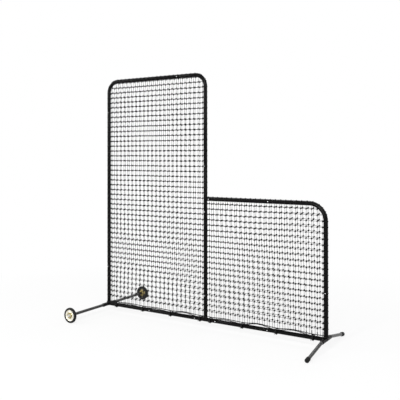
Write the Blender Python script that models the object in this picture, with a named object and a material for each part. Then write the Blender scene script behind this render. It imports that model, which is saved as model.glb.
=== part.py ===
"""Baseball L screen: a tubular steel frame with a tall bay and a short bay, a double layer of
square net pulled over it, two wheels on the left leg and a plain right leg.

Metres, +Z up. X runs along the screen, from the tall bay on the left to the short bay on the
right, and the pitcher stands on the -Y side. The origin is on the ground, under the middle of
the whole object. Driving dimensions come first, then the places worked out from them, the
shape tools, and one function for each kind of piece."""

import math

import bmesh
import bpy
from mathutils import Matrix, Vector

# Overall sizes
SCREEN_HEIGHT = 2.134
SCREEN_WIDTH = 2.134
SHORT_RAIL_SHARE = 0.4912
MID_POST_SHARE = 0.5

# Frame tube
TUBE_DIAMETER = 0.032
TUBE_WALL = 0.0015
TALL_BEND_RADIUS = 0.1
SHORT_BEND_RADIUS = 0.128
SPIGOT_LENGTH = 0.038
SWAGE_LENGTH = 0.006
BUTTON_SETBACK = 0.018

# Joint buttons, as distances from the centre line of the tube they branch from. Both top bends
# are one part turned round: its long leg is a share of the tall bay's width. The mid tee's low
# button is a share of the short rail's height over the bottom rail.
LEFT_POST_LOW_BUTTON = 0.345
TOP_BEND_LONG_SHARE = 0.7326
TOP_BEND_SHORT_LEG = 0.281
MID_TEE_LOW_SHARE = 0.894
BASE_TEE_BUTTON = 0.2
SHORT_STUB_BUTTON = 0.039
SHORT_BEND_LEG = 0.467
BASE_RAIL_BUTTON = 0.475
BASE_TEE_REACH = 0.1

# Legs
LEG_DIAMETER = 0.025
LEG_WALL = 0.0015
SLEEVE_LENGTH = 0.17
SLEEVE_WALL = 0.003
LEG_INSERT = 0.07
WHEEL_LEG_REACH = 0.483
FOOT_LEG_REACH = 0.372
FOOT_BEND_RADIUS = 0.06
FOOT_BEND_START = 0.006
CAP_DIAMETER = 0.033
CAP_LENGTH = 0.034
CAP_END_WALL = 0.005
CAP_EDGE = 0.004
CAP_FLAT = 0.0015

# Snap buttons and their springs
BUTTON_DIAMETER = 0.008
BUTTON_PROUD = 0.004
BUTTON_DOME = 0.0018
DOME_SHOULDER_SHARE = 0.33
SPRING_WIDTH = 0.008
SPRING_STRIP = 0.0008
SPRING_ARM = 0.026

# Wheels, along the axle outwards from the end of the leg
WHEEL_DIAMETER = 0.13
TYRE_WIDTH = 0.027
TYRE_SECTION_SHARES = ((0, 0.78), (0.3, 1.0), (0.72, 0.88), (0.93, 0.56), (1.0, 0.18))
RIM_DIAMETER = 0.094
RIM_WIDTH = 0.021
RIM_THICKNESS = 0.004
DISC_THICKNESS = 0.004
DISH_DEPTH = 0.005
BOSS_DIAMETER = 0.026
BOSS_LENGTH = 0.029
COVER_DIAMETER = 0.054
COVER_THICKNESS = 0.0012
COVER_RISE = 0.004
BUSH_WALL = 0.003
BUSH_OVERHANG = 0.001
AXLE_DIAMETER = 0.01
AXLE_EMBED = 0.025
HEAD_WIDTH = 0.017
HEAD_HEIGHT = 0.0064
WASHER_DIAMETER = 0.02
WASHER_THICKNESS = 0.0016
PLUG_LENGTH = 0.03
PLUG_FLANGE = 0.003

# Net, border rope and ties. One modelled gap stands for NET_GROUP real meshes each way.
REAL_MESH = 0.04445
NET_GROUP = 4
NET_SPLIT_SHARE = 0.25
TWINE = 0.003
CROSS_TWINE = 0.0026
ROPE_DIAMETER = 0.007
ROPE_BOW = 0.026
ROPE_BOW_SHARES = (0.3, 0.3, 0.55, 0.8, 0.35, 0.75, 1.0)
ROPE_LIFT = 0.02
TIE_DIAMETER = 0.004
TIE_SPACING = 0.29

# Clearance between pieces that touch, overrun of a cut, and facet counts
GAP = 0.0003
CUT_OVERRUN = 0.004
TUBE_SIDES = 12
BEND_STEPS = 6
WHEEL_SIDES = 24
SMALL_SIDES = 10
ROPE_SIDES = 6
WRAP_STEPS = 4
HOLE_TURN_SHARE = 0.4
TIE_STEPS = 14
TIE_SQUARENESS_SHARE = 0.6
ROPE_STEPS = 4
SHARP_ANGLE = math.radians(35)
WELD_TURN_SHARES = (0.2, 0.35, 0.2)

# Places worked out from the sizes above
TUBE_R = TUBE_DIAMETER / 2
BORE_R = TUBE_R - TUBE_WALL
SPIGOT_R = BORE_R - GAP
SPIGOT_BORE_R = SPIGOT_R - TUBE_WALL
LEG_R = LEG_DIAMETER / 2
LEG_BORE_R = LEG_R - LEG_WALL
SLEEVE_BORE_R = LEG_R + GAP
SLEEVE_R = SLEEVE_BORE_R + SLEEVE_WALL
WHEEL_R = WHEEL_DIAMETER / 2
CAP_R = CAP_DIAMETER / 2
BUTTON_R = BUTTON_DIAMETER / 2
NET_OFFSET = TUBE_R + GAP + TWINE / 2
POST_SPACING = SCREEN_WIDTH - TUBE_DIAMETER
RIGHT_EDGE = TUBE_R + GAP + ROPE_DIAMETER
LEFT_X = -(POST_SPACING + RIGHT_EDGE - WHEEL_R) / 2
RIGHT_X = LEFT_X + POST_SPACING
MID_X = LEFT_X + POST_SPACING * MID_POST_SHARE
RAIL_Z = WHEEL_R
TOP_Z = SCREEN_HEIGHT - NET_OFFSET - CROSS_TWINE / 2
SHORT_Z = RAIL_Z + (TOP_Z - RAIL_Z) * SHORT_RAIL_SHARE
TOP_BEND_LONG_LEG = (MID_X - LEFT_X) * TOP_BEND_LONG_SHARE
MID_TEE_LOW_Z = RAIL_Z + (SHORT_Z - RAIL_Z) * MID_TEE_LOW_SHARE
PITCH = REAL_MESH * NET_GROUP

X_AXIS = Vector((1, 0, 0))
Y_AXIS = Vector((0, 1, 0))
Z_AXIS = Vector((0, 0, 1))


# Materials

def paint(name, colour, roughness, metallic=0.0):
    """A Principled material of one colour."""
    material = bpy.data.materials.new(name)
    material.use_nodes = True
    shader = material.node_tree.nodes["Principled BSDF"]
    shader.inputs["Base Color"].default_value = (*colour, 1)
    shader.inputs["Roughness"].default_value = roughness
    shader.inputs["Metallic"].default_value = metallic
    material.diffuse_color = (*colour, 1)
    return material


# Shape tools

def place(name, mesh, material):
    """Put a mesh in the scene as a named piece with its material."""
    mesh.name = name
    mesh.shade_smooth()
    mesh.set_sharp_from_angle(angle=SHARP_ANGLE)
    if not mesh.materials:
        mesh.materials.append(material)
    piece = bpy.data.objects.new(name, mesh)
    bpy.context.scene.collection.objects.link(piece)
    return piece


def finish(bm):
    """Turn a bmesh into a mesh whose faces point out."""
    bmesh.ops.recalc_face_normals(bm, faces=bm.faces)
    mesh = bpy.data.meshes.new("shape")
    bm.to_mesh(mesh)
    bm.free()
    return mesh


def link_rings(bm, rings, wrap):
    """Join each ring of vertices to the next; wrap also joins the last to the first."""
    count = len(rings[0])
    pairs = list(zip(rings, rings[1:]))
    if wrap:
        pairs.append((rings[-1], rings[0]))
    for low, high in pairs:
        for k in range(count):
            n = (k + 1) % count
            bm.faces.new((low[k], low[n], high[n], high[k]))


def tangents(points, closed=False):
    """The direction of a path at each of its points."""
    last = len(points) - 1
    result = []
    for i in range(last + 1):
        before = points[i - 1] if i or closed else points[i]
        after = points[(i + 1) % (last + 1)] if i < last or closed else points[i]
        result.append((after - before).normalized())
    return result


def rings_along(bm, points, normal, radii, sides, closed=False, square=False):
    """Rings of vertices across a flat path whose plane has the given normal."""
    turn = math.pi / 4 if square else 0.0
    rings = []
    for point, along, radius in zip(points, tangents(points, closed), radii):
        side = along.cross(normal).normalized()
        ring = []
        for k in range(sides):
            angle = turn + math.tau * k / sides
            spoke = math.cos(angle) * side + math.sin(angle) * normal
            ring.append(bm.verts.new(point + radius * spoke))
        rings.append(ring)
    return rings


def rod(points, normal, radius, sides, closed=False, square=False):
    """A solid round or square bar along a flat path."""
    bm = bmesh.new()
    rings = rings_along(bm, points, normal, [radius] * len(points), sides, closed, square)
    link_rings(bm, rings, closed)
    if not closed:
        bm.faces.new(rings[0])
        bm.faces.new(rings[-1])
    return finish(bm)


def swept(stations, normal, sides=TUBE_SIDES):
    """A solid of round sections along a flat path of (point, radius) stations."""
    bm = bmesh.new()
    rings = rings_along(bm, [p for p, r in stations], normal, [r for p, r in stations], sides)
    link_rings(bm, rings, False)
    bm.faces.new(rings[0])
    bm.faces.new(rings[-1])
    return finish(bm)


def pipe(outer, inner, normal, sides=TUBE_SIDES):
    """A hollow tube: outer and inner are lists of (point, radius) along the same flat path."""
    bm = bmesh.new()
    skin = rings_along(bm, [p for p, r in outer], normal, [r for p, r in outer], sides)
    bore = rings_along(bm, [p for p, r in inner], normal, [r for p, r in inner], sides)
    link_rings(bm, skin + bore[::-1], True)
    return finish(bm)


def turned(profile, sides):
    """A piece turned about Z from (radius, height) points; a ring unless it starts on the axis."""
    bm = bmesh.new()
    rings = []
    for radius, height in profile:
        if radius == 0:
            rings.append([bm.verts.new((0, 0, height))])
            continue
        ring = []
        for k in range(sides):
            angle = math.tau * k / sides
            ring.append(bm.verts.new((radius * math.cos(angle), radius * math.sin(angle), height)))
        rings.append(ring)
    solid = len(rings[0]) == 1
    pairs = list(zip(rings, rings[1:]))
    if not solid:
        pairs.append((rings[-1], rings[0]))
    for low, high in pairs:
        for k in range(sides):
            n = (k + 1) % sides
            under = [low[k % len(low)], low[n % len(low)]]
            over = [high[n % len(high)], high[k % len(high)]]
            bm.faces.new(list(dict.fromkeys(under + over)))
    return finish(bm)


def arc_path(points, radius, steps=BEND_STEPS):
    """A path through corner points, each corner rounded to the radius."""
    path = [points[0].copy()]
    for before, corner, after in zip(points, points[1:], points[2:]):
        come = (corner - before).normalized()
        leave = (after - corner).normalized()
        angle = come.angle(leave)
        setback = radius * math.tan(angle / 2)
        centre = corner + (leave - come).normalized() * (radius / math.cos(angle / 2))
        start = corner - come * setback - centre
        axis = come.cross(leave).normalized()
        for k in range(steps + 1):
            path.append(centre + Matrix.Rotation(angle * k / steps, 3, axis) @ start)
    path.append(points[-1].copy())
    return path


def boxed(low, high):
    """A box between two corners."""
    bm = bmesh.new()
    bmesh.ops.create_cube(bm, size=1.0)
    for vert in bm.verts:
        for k in range(3):
            vert.co[k] = high[k] if vert.co[k] > 0 else low[k]
    return finish(bm)


def moved(mesh, matrix):
    """A copy of a mesh, moved."""
    copy = mesh.copy()
    copy.transform(matrix)
    return copy


def joined(meshes):
    """Several meshes as one, left as separate bodies."""
    bm = bmesh.new()
    for mesh in meshes:
        bm.from_mesh(mesh)
    result = bpy.data.meshes.new("group")
    bm.to_mesh(result)
    bm.free()
    return result


def combine(mesh, other, operation):
    """The union or difference of two closed meshes."""
    base = bpy.data.objects.new("base", mesh)
    tool = bpy.data.objects.new("tool", other)
    tool.hide_render = True
    tool.display_type = "WIRE"
    for item in (base, tool):
        bpy.context.scene.collection.objects.link(item)
    change = base.modifiers.new("combine", "BOOLEAN")
    change.operation = operation
    change.object = tool
    bpy.context.view_layer.update()
    graph = bpy.context.evaluated_depsgraph_get()
    result = bpy.data.meshes.new_from_object(base.evaluated_get(graph))
    for item in (base, tool):
        bpy.data.objects.remove(item)
    return result


def united(meshes):
    """Several closed meshes fused into one body."""
    result = meshes[0]
    for mesh in meshes[1:]:
        result = combine(result, mesh, "UNION")
    return result


def turn_to(direction):
    """A rotation that takes +Z to a direction."""
    return Z_AXIS.rotation_difference(Vector(direction)).to_matrix().to_4x4()


# Tube joints. A joint is where one tube's spigot enters the next, locked by a snap button.

class Joint:
    """A snap joint: the button's place on the axis, the way the spigot runs in, the button's side."""

    def __init__(self, name, place_on_axis, inward, side, outer_radius, bore_radius):
        self.name = name
        self.centre = Vector(place_on_axis)
        self.inward = Vector(inward)
        self.side = Vector(side)
        self.outer_radius = outer_radius
        self.bore_radius = bore_radius

    def mouth(self):
        """The end of the outer tube, on its axis."""
        return self.centre - self.inward * BUTTON_SETBACK

    def spigot_end(self, length=SPIGOT_LENGTH):
        """The end of the inner tube, on its axis."""
        return self.mouth() + self.inward * length

    def frame(self):
        """Z out through the button, X the way the spigot runs in."""
        across = self.side.cross(self.inward)
        rows = Matrix((self.inward, across, self.side)).transposed()
        return Matrix.Translation(self.centre) @ rows.to_4x4()

    def hole(self):
        """The cutter for the button's hole through one wall of both tubes."""
        top = self.outer_radius + CUT_OVERRUN
        low = self.bore_radius / 2
        width = BUTTON_R + GAP
        mesh = turned([(0, top), (width, top), (width, low), (0, low)], SMALL_SIDES)
        off_facets = Matrix.Rotation(math.pi / SMALL_SIDES * HOLE_TURN_SHARE, 4, "Z")
        return moved(mesh, self.frame() @ off_facets)


def tube_joint(name, centre, inward, side=-Y_AXIS):
    """A joint between two frame tubes."""
    return Joint(name, centre, inward, side, TUBE_R, SPIGOT_BORE_R)


def leg_joint(name, x, way):
    """A joint between a leg tube and its sleeve, with the button underneath."""
    centre = (x, way * (SLEEVE_LENGTH / 2 - BUTTON_SETBACK), RAIL_Z)
    return Joint(name, centre, (0, -way, 0), -Z_AXIS, SLEEVE_R, LEG_BORE_R)


def frame_joints():
    """Every snap joint of the screen, by name."""
    top_rail_x = LEFT_X + TOP_BEND_LONG_LEG
    left_high_z = TOP_Z - TOP_BEND_SHORT_LEG
    mid_high_z = TOP_Z - TOP_BEND_LONG_LEG
    post_low_z = RAIL_Z + LEFT_POST_LOW_BUTTON
    short_out_x = RIGHT_X - SHORT_BEND_LEG
    joints = [
        tube_joint("left_post_low", (LEFT_X, 0, post_low_z), -Z_AXIS),
        tube_joint("left_post_high", (LEFT_X, 0, left_high_z), -Z_AXIS),
        tube_joint("top_rail", (top_rail_x, 0, TOP_Z), -X_AXIS),
        tube_joint("mid_post_high", (MID_X, 0, mid_high_z), -Z_AXIS),
        tube_joint("mid_post_low", (MID_X, 0, MID_TEE_LOW_Z), -Z_AXIS),
        tube_joint("mid_post_base", (MID_X, 0, RAIL_Z + BASE_TEE_BUTTON), -Z_AXIS),
        tube_joint("short_rail_inner", (MID_X + SHORT_STUB_BUTTON, 0, SHORT_Z), -X_AXIS),
        tube_joint("short_rail_outer", (short_out_x, 0, SHORT_Z), -X_AXIS),
        tube_joint("right_post", (RIGHT_X, 0, post_low_z), -Z_AXIS),
        tube_joint("bottom_rail_1", (LEFT_X + BASE_RAIL_BUTTON, 0, RAIL_Z), -X_AXIS),
        tube_joint("bottom_rail_2", (MID_X - BASE_TEE_REACH, 0, RAIL_Z), X_AXIS),
        tube_joint("bottom_rail_3", (MID_X + BASE_TEE_REACH, 0, RAIL_Z), -X_AXIS),
        tube_joint("bottom_rail_4", (RIGHT_X - BASE_RAIL_BUTTON, 0, RAIL_Z), X_AXIS),
        leg_joint("left_leg_front", LEFT_X, -1),
        leg_joint("left_leg_back", LEFT_X, 1),
        leg_joint("right_leg_front", RIGHT_X, -1),
        leg_joint("right_leg_back", RIGHT_X, 1),
    ]
    return {joint.name: joint for joint in joints}


# Frame tubes

def tube_stations(corners, bend_radius, start=None, end=None):
    """Outer and inner (point, radius) lists; start and end are joints whose outer tube it enters."""
    path = arc_path(corners, bend_radius) if len(corners) > 2 else list(corners)
    outer = [(p, TUBE_R) for p in path]
    inner = [(p, BORE_R) for p in path]
    if start:
        outer, inner = swage(outer, inner, start)
    if end:
        outer, inner = swage(outer[::-1], inner[::-1], end)
    return outer, inner


def tube_mesh(corners, bend_radius, start=None, end=None):
    """A frame tube along corner points."""
    return pipe(*tube_stations(corners, bend_radius, start, end), Y_AXIS)


def swage(outer, inner, joint):
    """Replace a tube's first station by a shoulder and the reduced spigot beyond it."""
    shoulder = joint.mouth() - joint.inward * GAP
    neck = shoulder - joint.inward * SWAGE_LENGTH
    tip = joint.spigot_end()
    outer = [(tip, SPIGOT_R), (shoulder, SPIGOT_R), (neck, TUBE_R)] + outer[1:]
    inner = [(tip, SPIGOT_BORE_R), (shoulder, SPIGOT_BORE_R), (neck, BORE_R)] + inner[1:]
    return outer, inner


def drilled(mesh, joints):
    """Cut each joint's button hole."""
    for joint in joints:
        mesh = combine(mesh, joint.hole(), "DIFFERENCE")
    return mesh


def bar(start, end, radius, turn_share=0.0):
    """A solid cylinder between two points; turn_share turns its facets by that share of one."""
    direction = Vector(end) - Vector(start)
    reach = direction.length
    mesh = turned([(0, reach), (radius, reach), (radius, 0), (0, 0)], TUBE_SIDES)
    turn = Matrix.Rotation(math.tau / TUBE_SIDES * turn_share, 4, "Z")
    return moved(mesh, Matrix.Translation(start) @ turn_to(direction.normalized()) @ turn)


def welded(runs, bores):
    """Tubes welded into one piece, each bore then opened: runs and bores are (start, end, radius)."""
    solid = united([bar(*run, share) for run, share in zip(runs, WELD_TURN_SHARES)])
    for bore in bores:
        solid = combine(solid, bar(*bore), "DIFFERENCE")
    return solid


def past(point, direction):
    """A point a little beyond a mouth, for a cutter."""
    return Vector(point) + Vector(direction) * CUT_OVERRUN


def base_corner(x, way, post_joint, rail_joint, leg_joints):
    """Leg sleeve, post stub and rail stub welded together at a bottom corner."""
    corner = Vector((x, 0, RAIL_Z))
    half = Y_AXIS * (SLEEVE_LENGTH / 2)
    seat = SLEEVE_R + TUBE_WALL
    runs = [
        (corner - half, corner + half, SLEEVE_R),
        (corner, post_joint.mouth(), TUBE_R),
        (corner, rail_joint.mouth(), TUBE_R),
    ]
    bores = [
        (past(corner - half, -Y_AXIS), past(corner + half, Y_AXIS), SLEEVE_BORE_R),
        (corner + Z_AXIS * seat, past(post_joint.mouth(), Z_AXIS), BORE_R),
        (corner + X_AXIS * way * seat, past(rail_joint.mouth(), X_AXIS * way), BORE_R),
    ]
    return drilled(welded(runs, bores), [post_joint, rail_joint] + leg_joints)


def mid_tee(joints):
    """Mid post section with the welded stub that takes the short rail."""
    top = joints["mid_post_high"]
    low = joints["mid_post_low"]
    stub = joints["short_rail_inner"]
    outer, inner = tube_stations([low.spigot_end(), top.mouth()], 0, start=low)
    inner[0] = (past(inner[0][0], -Z_AXIS), inner[0][1])
    inner[-1] = (past(inner[-1][0], Z_AXIS), inner[-1][1])
    root = Vector((MID_X, 0, SHORT_Z))
    branch = bar(root, stub.mouth(), TUBE_R, WELD_TURN_SHARES[1])
    post = combine(swept(outer, Y_AXIS), branch, "UNION")
    post = combine(post, swept(inner, Y_AXIS), "DIFFERENCE")
    branch_bore = bar(root + X_AXIS * (TUBE_R + TUBE_WALL), past(stub.mouth(), X_AXIS), BORE_R)
    return drilled(combine(post, branch_bore, "DIFFERENCE"), [top, low, stub])


def base_tee(joints):
    """Middle of the bottom rail with the welded stub that takes the mid post."""
    left = joints["bottom_rail_2"]
    right = joints["bottom_rail_3"]
    post = joints["mid_post_base"]
    centre = Vector((MID_X, 0, RAIL_Z))
    runs = [(left.mouth(), right.mouth(), TUBE_R), (centre, post.mouth(), TUBE_R)]
    bores = [
        (past(left.mouth(), -X_AXIS), past(right.mouth(), X_AXIS), BORE_R),
        (centre + Z_AXIS * (TUBE_R + TUBE_WALL), past(post.mouth(), Z_AXIS), BORE_R),
    ]
    return drilled(welded(runs, bores), [left, right, post])


def make_frame(joints, steel):
    """Every tube of the frame."""
    left_low = joints["left_post_low"]
    left_high = joints["left_post_high"]
    top = joints["top_rail"]
    mid_high = joints["mid_post_high"]
    mid_low = joints["mid_post_low"]
    mid_base = joints["mid_post_base"]
    short_in = joints["short_rail_inner"]
    short_out = joints["short_rail_outer"]
    right = joints["right_post"]
    rails = [joints["bottom_rail_%d" % k] for k in (1, 2, 3, 4)]
    left_legs = [joints["left_leg_front"], joints["left_leg_back"]]
    right_legs = [joints["right_leg_front"], joints["right_leg_back"]]
    tall_left = Vector((LEFT_X, 0, TOP_Z))
    tall_right = Vector((MID_X, 0, TOP_Z))
    short_corner = Vector((RIGHT_X, 0, SHORT_Z))
    meshes = {
        "base_corner_left": base_corner(LEFT_X, 1, left_low, rails[0], left_legs),
        "base_corner_right": base_corner(RIGHT_X, -1, right, rails[3], right_legs),
        "base_tee": base_tee(joints),
        "mid_post_tee": mid_tee(joints),
        "left_post": drilled(
            tube_mesh([left_low.spigot_end(), left_high.mouth()], 0, start=left_low), [left_low, left_high]),
        "top_bend_left": drilled(
            tube_mesh([left_high.spigot_end(), tall_left, top.mouth()], TALL_BEND_RADIUS, start=left_high),
            [left_high, top]),
        "top_bend_right": drilled(
            tube_mesh([top.spigot_end(), tall_right, mid_high.spigot_end()], TALL_BEND_RADIUS,
                      start=top, end=mid_high), [top, mid_high]),
        "mid_post_lower": drilled(
            tube_mesh([mid_base.spigot_end(), mid_low.mouth()], 0, start=mid_base), [mid_base, mid_low]),
        "short_rail": drilled(
            tube_mesh([short_in.spigot_end(), short_out.mouth()], 0, start=short_in), [short_in, short_out]),
        "short_rail_bend": drilled(
            tube_mesh([short_out.spigot_end(), short_corner, right.spigot_end()], SHORT_BEND_RADIUS,
                      start=short_out, end=right), [short_out, right]),
        "bottom_rail_left": drilled(
            tube_mesh([rails[0].spigot_end(), rails[1].spigot_end()], 0, start=rails[0], end=rails[1]),
            rails[:2]),
        "bottom_rail_right": drilled(
            tube_mesh([rails[2].spigot_end(), rails[3].spigot_end()], 0, start=rails[2], end=rails[3]),
            rails[2:]),
    }
    for name, mesh in meshes.items():
        place(name, mesh, steel)


# Legs and end caps

def leg_corners(joint, x, way):
    """Corner points of a leg tube, from inside the sleeve to its outer end."""
    start = joint.spigot_end(LEG_INSERT)
    if x == LEFT_X:
        return [start, Vector((x, way * WHEEL_LEG_REACH, RAIL_Z))]
    tip_z = CAP_R - CAP_FLAT
    drop = RAIL_Z - tip_z
    bend_y = SLEEVE_LENGTH / 2 + FOOT_BEND_START
    angle = math.atan2(drop, FOOT_LEG_REACH - bend_y)
    elbow_y = bend_y + FOOT_BEND_RADIUS * math.tan(angle / 2)
    return [start, Vector((x, way * elbow_y, RAIL_Z)), Vector((x, way * FOOT_LEG_REACH, tip_z))]


def make_legs(joints, steel):
    """The four leg tubes; returns each one's outer end and direction."""
    ends = {}
    for side, x in (("left", LEFT_X), ("right", RIGHT_X)):
        for name, way in (("front", -1), ("back", 1)):
            joint = joints["%s_leg_%s" % (side, name)]
            corners = leg_corners(joint, x, way)
            path = arc_path(corners, FOOT_BEND_RADIUS) if len(corners) > 2 else corners
            mesh = pipe([(p, LEG_R) for p in path], [(p, LEG_BORE_R) for p in path], X_AXIS)
            place("%s_leg_%s" % (side, name), drilled(mesh, [joint]), steel)
            ends[side, name] = (corners[-1], (corners[-1] - corners[-2]).normalized())
    return ends


def make_caps(ends, rubber):
    """Rubber caps over the right leg's ends, worn flat where they stand."""
    grip = LEG_R + GAP
    body = turned([
        (0, CAP_END_WALL), (CAP_R - CAP_EDGE, CAP_END_WALL), (CAP_R, CAP_END_WALL - CAP_EDGE),
        (CAP_R, -CAP_LENGTH + CAP_EDGE), (CAP_R - CAP_EDGE / 2, -CAP_LENGTH),
        (grip, -CAP_LENGTH), (grip, GAP), (0, GAP),
    ], TUBE_SIDES)
    for name in ("front", "back"):
        end, direction = ends["right", name]
        mesh = moved(body, Matrix.Translation(end) @ turn_to(direction))
        reach = CAP_LENGTH + CAP_DIAMETER
        low = (end.x - CAP_DIAMETER, end.y - reach, -CAP_DIAMETER)
        high = (end.x + CAP_DIAMETER, end.y + reach, 0)
        mesh = combine(mesh, boxed(low, high), "DIFFERENCE")
        place("foot_cap_%s" % name, mesh, rubber)


# Snap buttons

def button_mesh(outer_radius, bore_radius):
    """A domed button on the spring arm that carries it, Z out, in the joint's own axes."""
    top = outer_radius + BUTTON_PROUD
    arm_top = arm_height(bore_radius)
    arm_low = arm_top - SPRING_STRIP
    root = arm_low + SPRING_STRIP / 2
    shoulder = (BUTTON_R * math.sin(math.pi / 4), top - BUTTON_DOME * DOME_SHOULDER_SHARE)
    stem = turned([
        (0, top), shoulder, (BUTTON_R, top - BUTTON_DOME), (BUTTON_R, root), (0, root),
    ], SMALL_SIDES)
    half = SPRING_WIDTH / 2
    arm = boxed((-BUTTON_DIAMETER, -half, arm_low), (SPRING_ARM - BUTTON_DIAMETER, half, arm_top))
    return combine(arm, stem, "UNION")


def arm_height(bore_radius):
    """How far from the tube's axis the spring's strip can lie inside its faceted bore."""
    reach = bore_radius * math.cos(math.pi / TUBE_SIDES) - GAP
    return math.sqrt(reach ** 2 - (SPRING_WIDTH / 2) ** 2)


def make_buttons(joints, zinc):
    """One moving button, on its spring arm, for each joint."""
    buttons = {}
    for joint in joints.values():
        key = (joint.outer_radius, joint.bore_radius)
        if key not in buttons:
            buttons[key] = button_mesh(*key)
        piece = place("button_" + joint.name, buttons[key].copy(), zinc)
        piece.matrix_world = joint.frame()


# Wheels. Heights in these profiles run outwards along the axle from the end of the leg.

WASHER_IN = PLUG_FLANGE + GAP * 2
BUSH_START = WASHER_IN + WASHER_THICKNESS + GAP
BUSH_END = BUSH_START + BOSS_LENGTH + BUSH_OVERHANG * 2
WHEEL_CENTRE = (BUSH_START + BUSH_END) / 2
WASHER_OUT = BUSH_END + GAP
HEAD_START = WASHER_OUT + WASHER_THICKNESS + GAP
AXLE_R = AXLE_DIAMETER / 2
BUSH_BORE_R = AXLE_R + GAP
BUSH_R = BUSH_BORE_R + BUSH_WALL
RIM_R = RIM_DIAMETER / 2


def tyre_mesh():
    """Solid rubber tyre with a rounded tread, seated between the rim's flanges."""
    half = TYRE_WIDTH / 2
    seat = RIM_R + GAP
    wall = WHEEL_R - seat
    outer = [(seat + wall * rise, half * out) for rise, out in TYRE_SECTION_SHARES]
    return turned(outer + [(r, -h) for r, h in reversed(outer)], WHEEL_SIDES)


def hub_mesh():
    """Pressed wheel: rim, dished disc and a central boss round the bush."""
    half = RIM_WIDTH / 2
    boss = BOSS_LENGTH / 2
    boss_r = BOSS_DIAMETER / 2
    bore = BUSH_R + GAP
    rim_in = RIM_R - RIM_THICKNESS
    web = DISC_THICKNESS / 2
    face = web + DISH_DEPTH
    outer = [
        (bore, boss), (boss_r, boss), (boss_r, face), (COVER_DIAMETER / 2, face),
        (rim_in - RIM_THICKNESS, web), (rim_in, half), (RIM_R, half),
    ]
    return turned(outer + [(r, -h) for r, h in reversed(outer)], WHEEL_SIDES)


def cover_mesh():
    """Domed cover ring pressed round the boss, on the face of the disc."""
    low = DISC_THICKNESS / 2 + DISH_DEPTH + GAP
    inner = BOSS_DIAMETER / 2 + GAP
    outer = COVER_DIAMETER / 2
    middle = (inner + outer) / 2
    return turned([
        (inner, low + COVER_THICKNESS), (middle, low + COVER_RISE), (outer, low + COVER_THICKNESS),
        (outer, low), (inner, low),
    ], WHEEL_SIDES)


def ring_mesh(inner, outer, low, high, sides=SMALL_SIDES):
    """A flat ring between two radii and two heights."""
    return turned([(inner, high), (outer, high), (outer, low), (inner, low)], sides)


def washer_mesh(low):
    """A washer on the axle, from its lower face."""
    return ring_mesh(BUSH_BORE_R, WASHER_DIAMETER / 2, low, low + WASHER_THICKNESS)


def plug_mesh():
    """Threaded plug in the end of the leg, with a flange over the tube's edge."""
    body_r = LEG_BORE_R - GAP
    return turned([
        (BUSH_BORE_R, PLUG_FLANGE + GAP), (LEG_R, PLUG_FLANGE + GAP), (LEG_R, GAP), (body_r, GAP),
        (body_r, -PLUG_LENGTH), (BUSH_BORE_R, -PLUG_LENGTH),
    ], TUBE_SIDES)


def axle_mesh():
    """Hex-headed axle bolt through the wheel into the plug."""
    head_top = HEAD_START + HEAD_HEIGHT
    shank_top = head_top - GAP
    head = ring_mesh(AXLE_R / 2, HEAD_WIDTH / math.sqrt(3), HEAD_START, head_top, 6)
    shank = turned([
        (0, shank_top), (AXLE_R, shank_top), (AXLE_R, -AXLE_EMBED), (0, -AXLE_EMBED),
    ], SMALL_SIDES)
    return combine(head, shank, "UNION")


def make_wheels(ends, paints):
    """Both wheels with their axles, on the ends of the left leg."""
    for name in ("front", "back"):
        end, direction = ends["left", name]
        spin = Matrix.Translation(end + direction * WHEEL_CENTRE) @ turn_to(direction)
        fixed = Matrix.Translation(end) @ turn_to(direction)
        flip = Matrix.Rotation(math.pi, 4, "X")
        half = (BUSH_END - BUSH_START) / 2
        turning = {
            "tyre": (tyre_mesh(), "rubber"),
            "hub": (hub_mesh(), "hub"),
            "cover_outer": (cover_mesh(), "brass"),
            "cover_inner": (moved(cover_mesh(), flip), "brass"),
            "bush": (ring_mesh(BUSH_BORE_R, BUSH_R, -half, half), "nylon"),
        }
        still = {
            "leg_plug": (plug_mesh(), "nylon"),
            "axle_bolt": (axle_mesh(), "zinc"),
            "washer_inner": (washer_mesh(WASHER_IN), "zinc"),
            "washer_outer": (washer_mesh(WASHER_OUT), "zinc"),
        }
        for group, matrix in ((turning, spin), (still, fixed)):
            for part, (mesh, slot) in group.items():
                piece = place("wheel_%s_%s" % (name, part), mesh, paints[slot])
                piece.matrix_world = matrix


# Net, border rope and ties

def half_round(radius):
    """Offsets (out, along) of a half turn round a tube, its flats lying on the radius."""
    reach = radius / math.cos(math.pi / WRAP_STEPS / 2)
    angles = [math.pi * (k + 1 / 2) / WRAP_STEPS for k in range(WRAP_STEPS)]
    return [(reach * math.sin(a), -reach * math.cos(a)) for a in angles]


def row_path(z, left_x, right_x, wrap_left, wrap_right):
    """A strand across a bay at a height, turned round the posts where it wraps them."""
    right = [Vector((right_x + out, along, z)) for out, along in half_round(NET_OFFSET)]
    left = [Vector((left_x - out, -along, z)) for out, along in half_round(NET_OFFSET)]
    if wrap_left and wrap_right:
        return right + left
    if wrap_left:
        return [Vector((right_x, NET_OFFSET, z))] + left + [Vector((right_x, -NET_OFFSET, z))]
    return [Vector((left_x, -NET_OFFSET, z))] + right + [Vector((left_x, NET_OFFSET, z))]


def column_path(x, foot_z, head_z):
    """A strand up the front of a bay, over its top rail and down the back."""
    over = [Vector((x, along, head_z + out)) for out, along in half_round(NET_OFFSET)]
    return [Vector((x, -NET_OFFSET, foot_z))] + over + [Vector((x, NET_OFFSET, foot_z))]


def strand(path, normal, width, closed=False):
    """A square-section strand of the net along a path."""
    return rod(path, normal, width / math.sqrt(2), 4, closed, square=True)


def spread(low, high, pitch):
    """Places between two limits, centred, a pitch apart."""
    count = int((high - low) / pitch)
    first = (low + high - (count - 1) * pitch) / 2
    return [first + pitch * k for k in range(count)]


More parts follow.
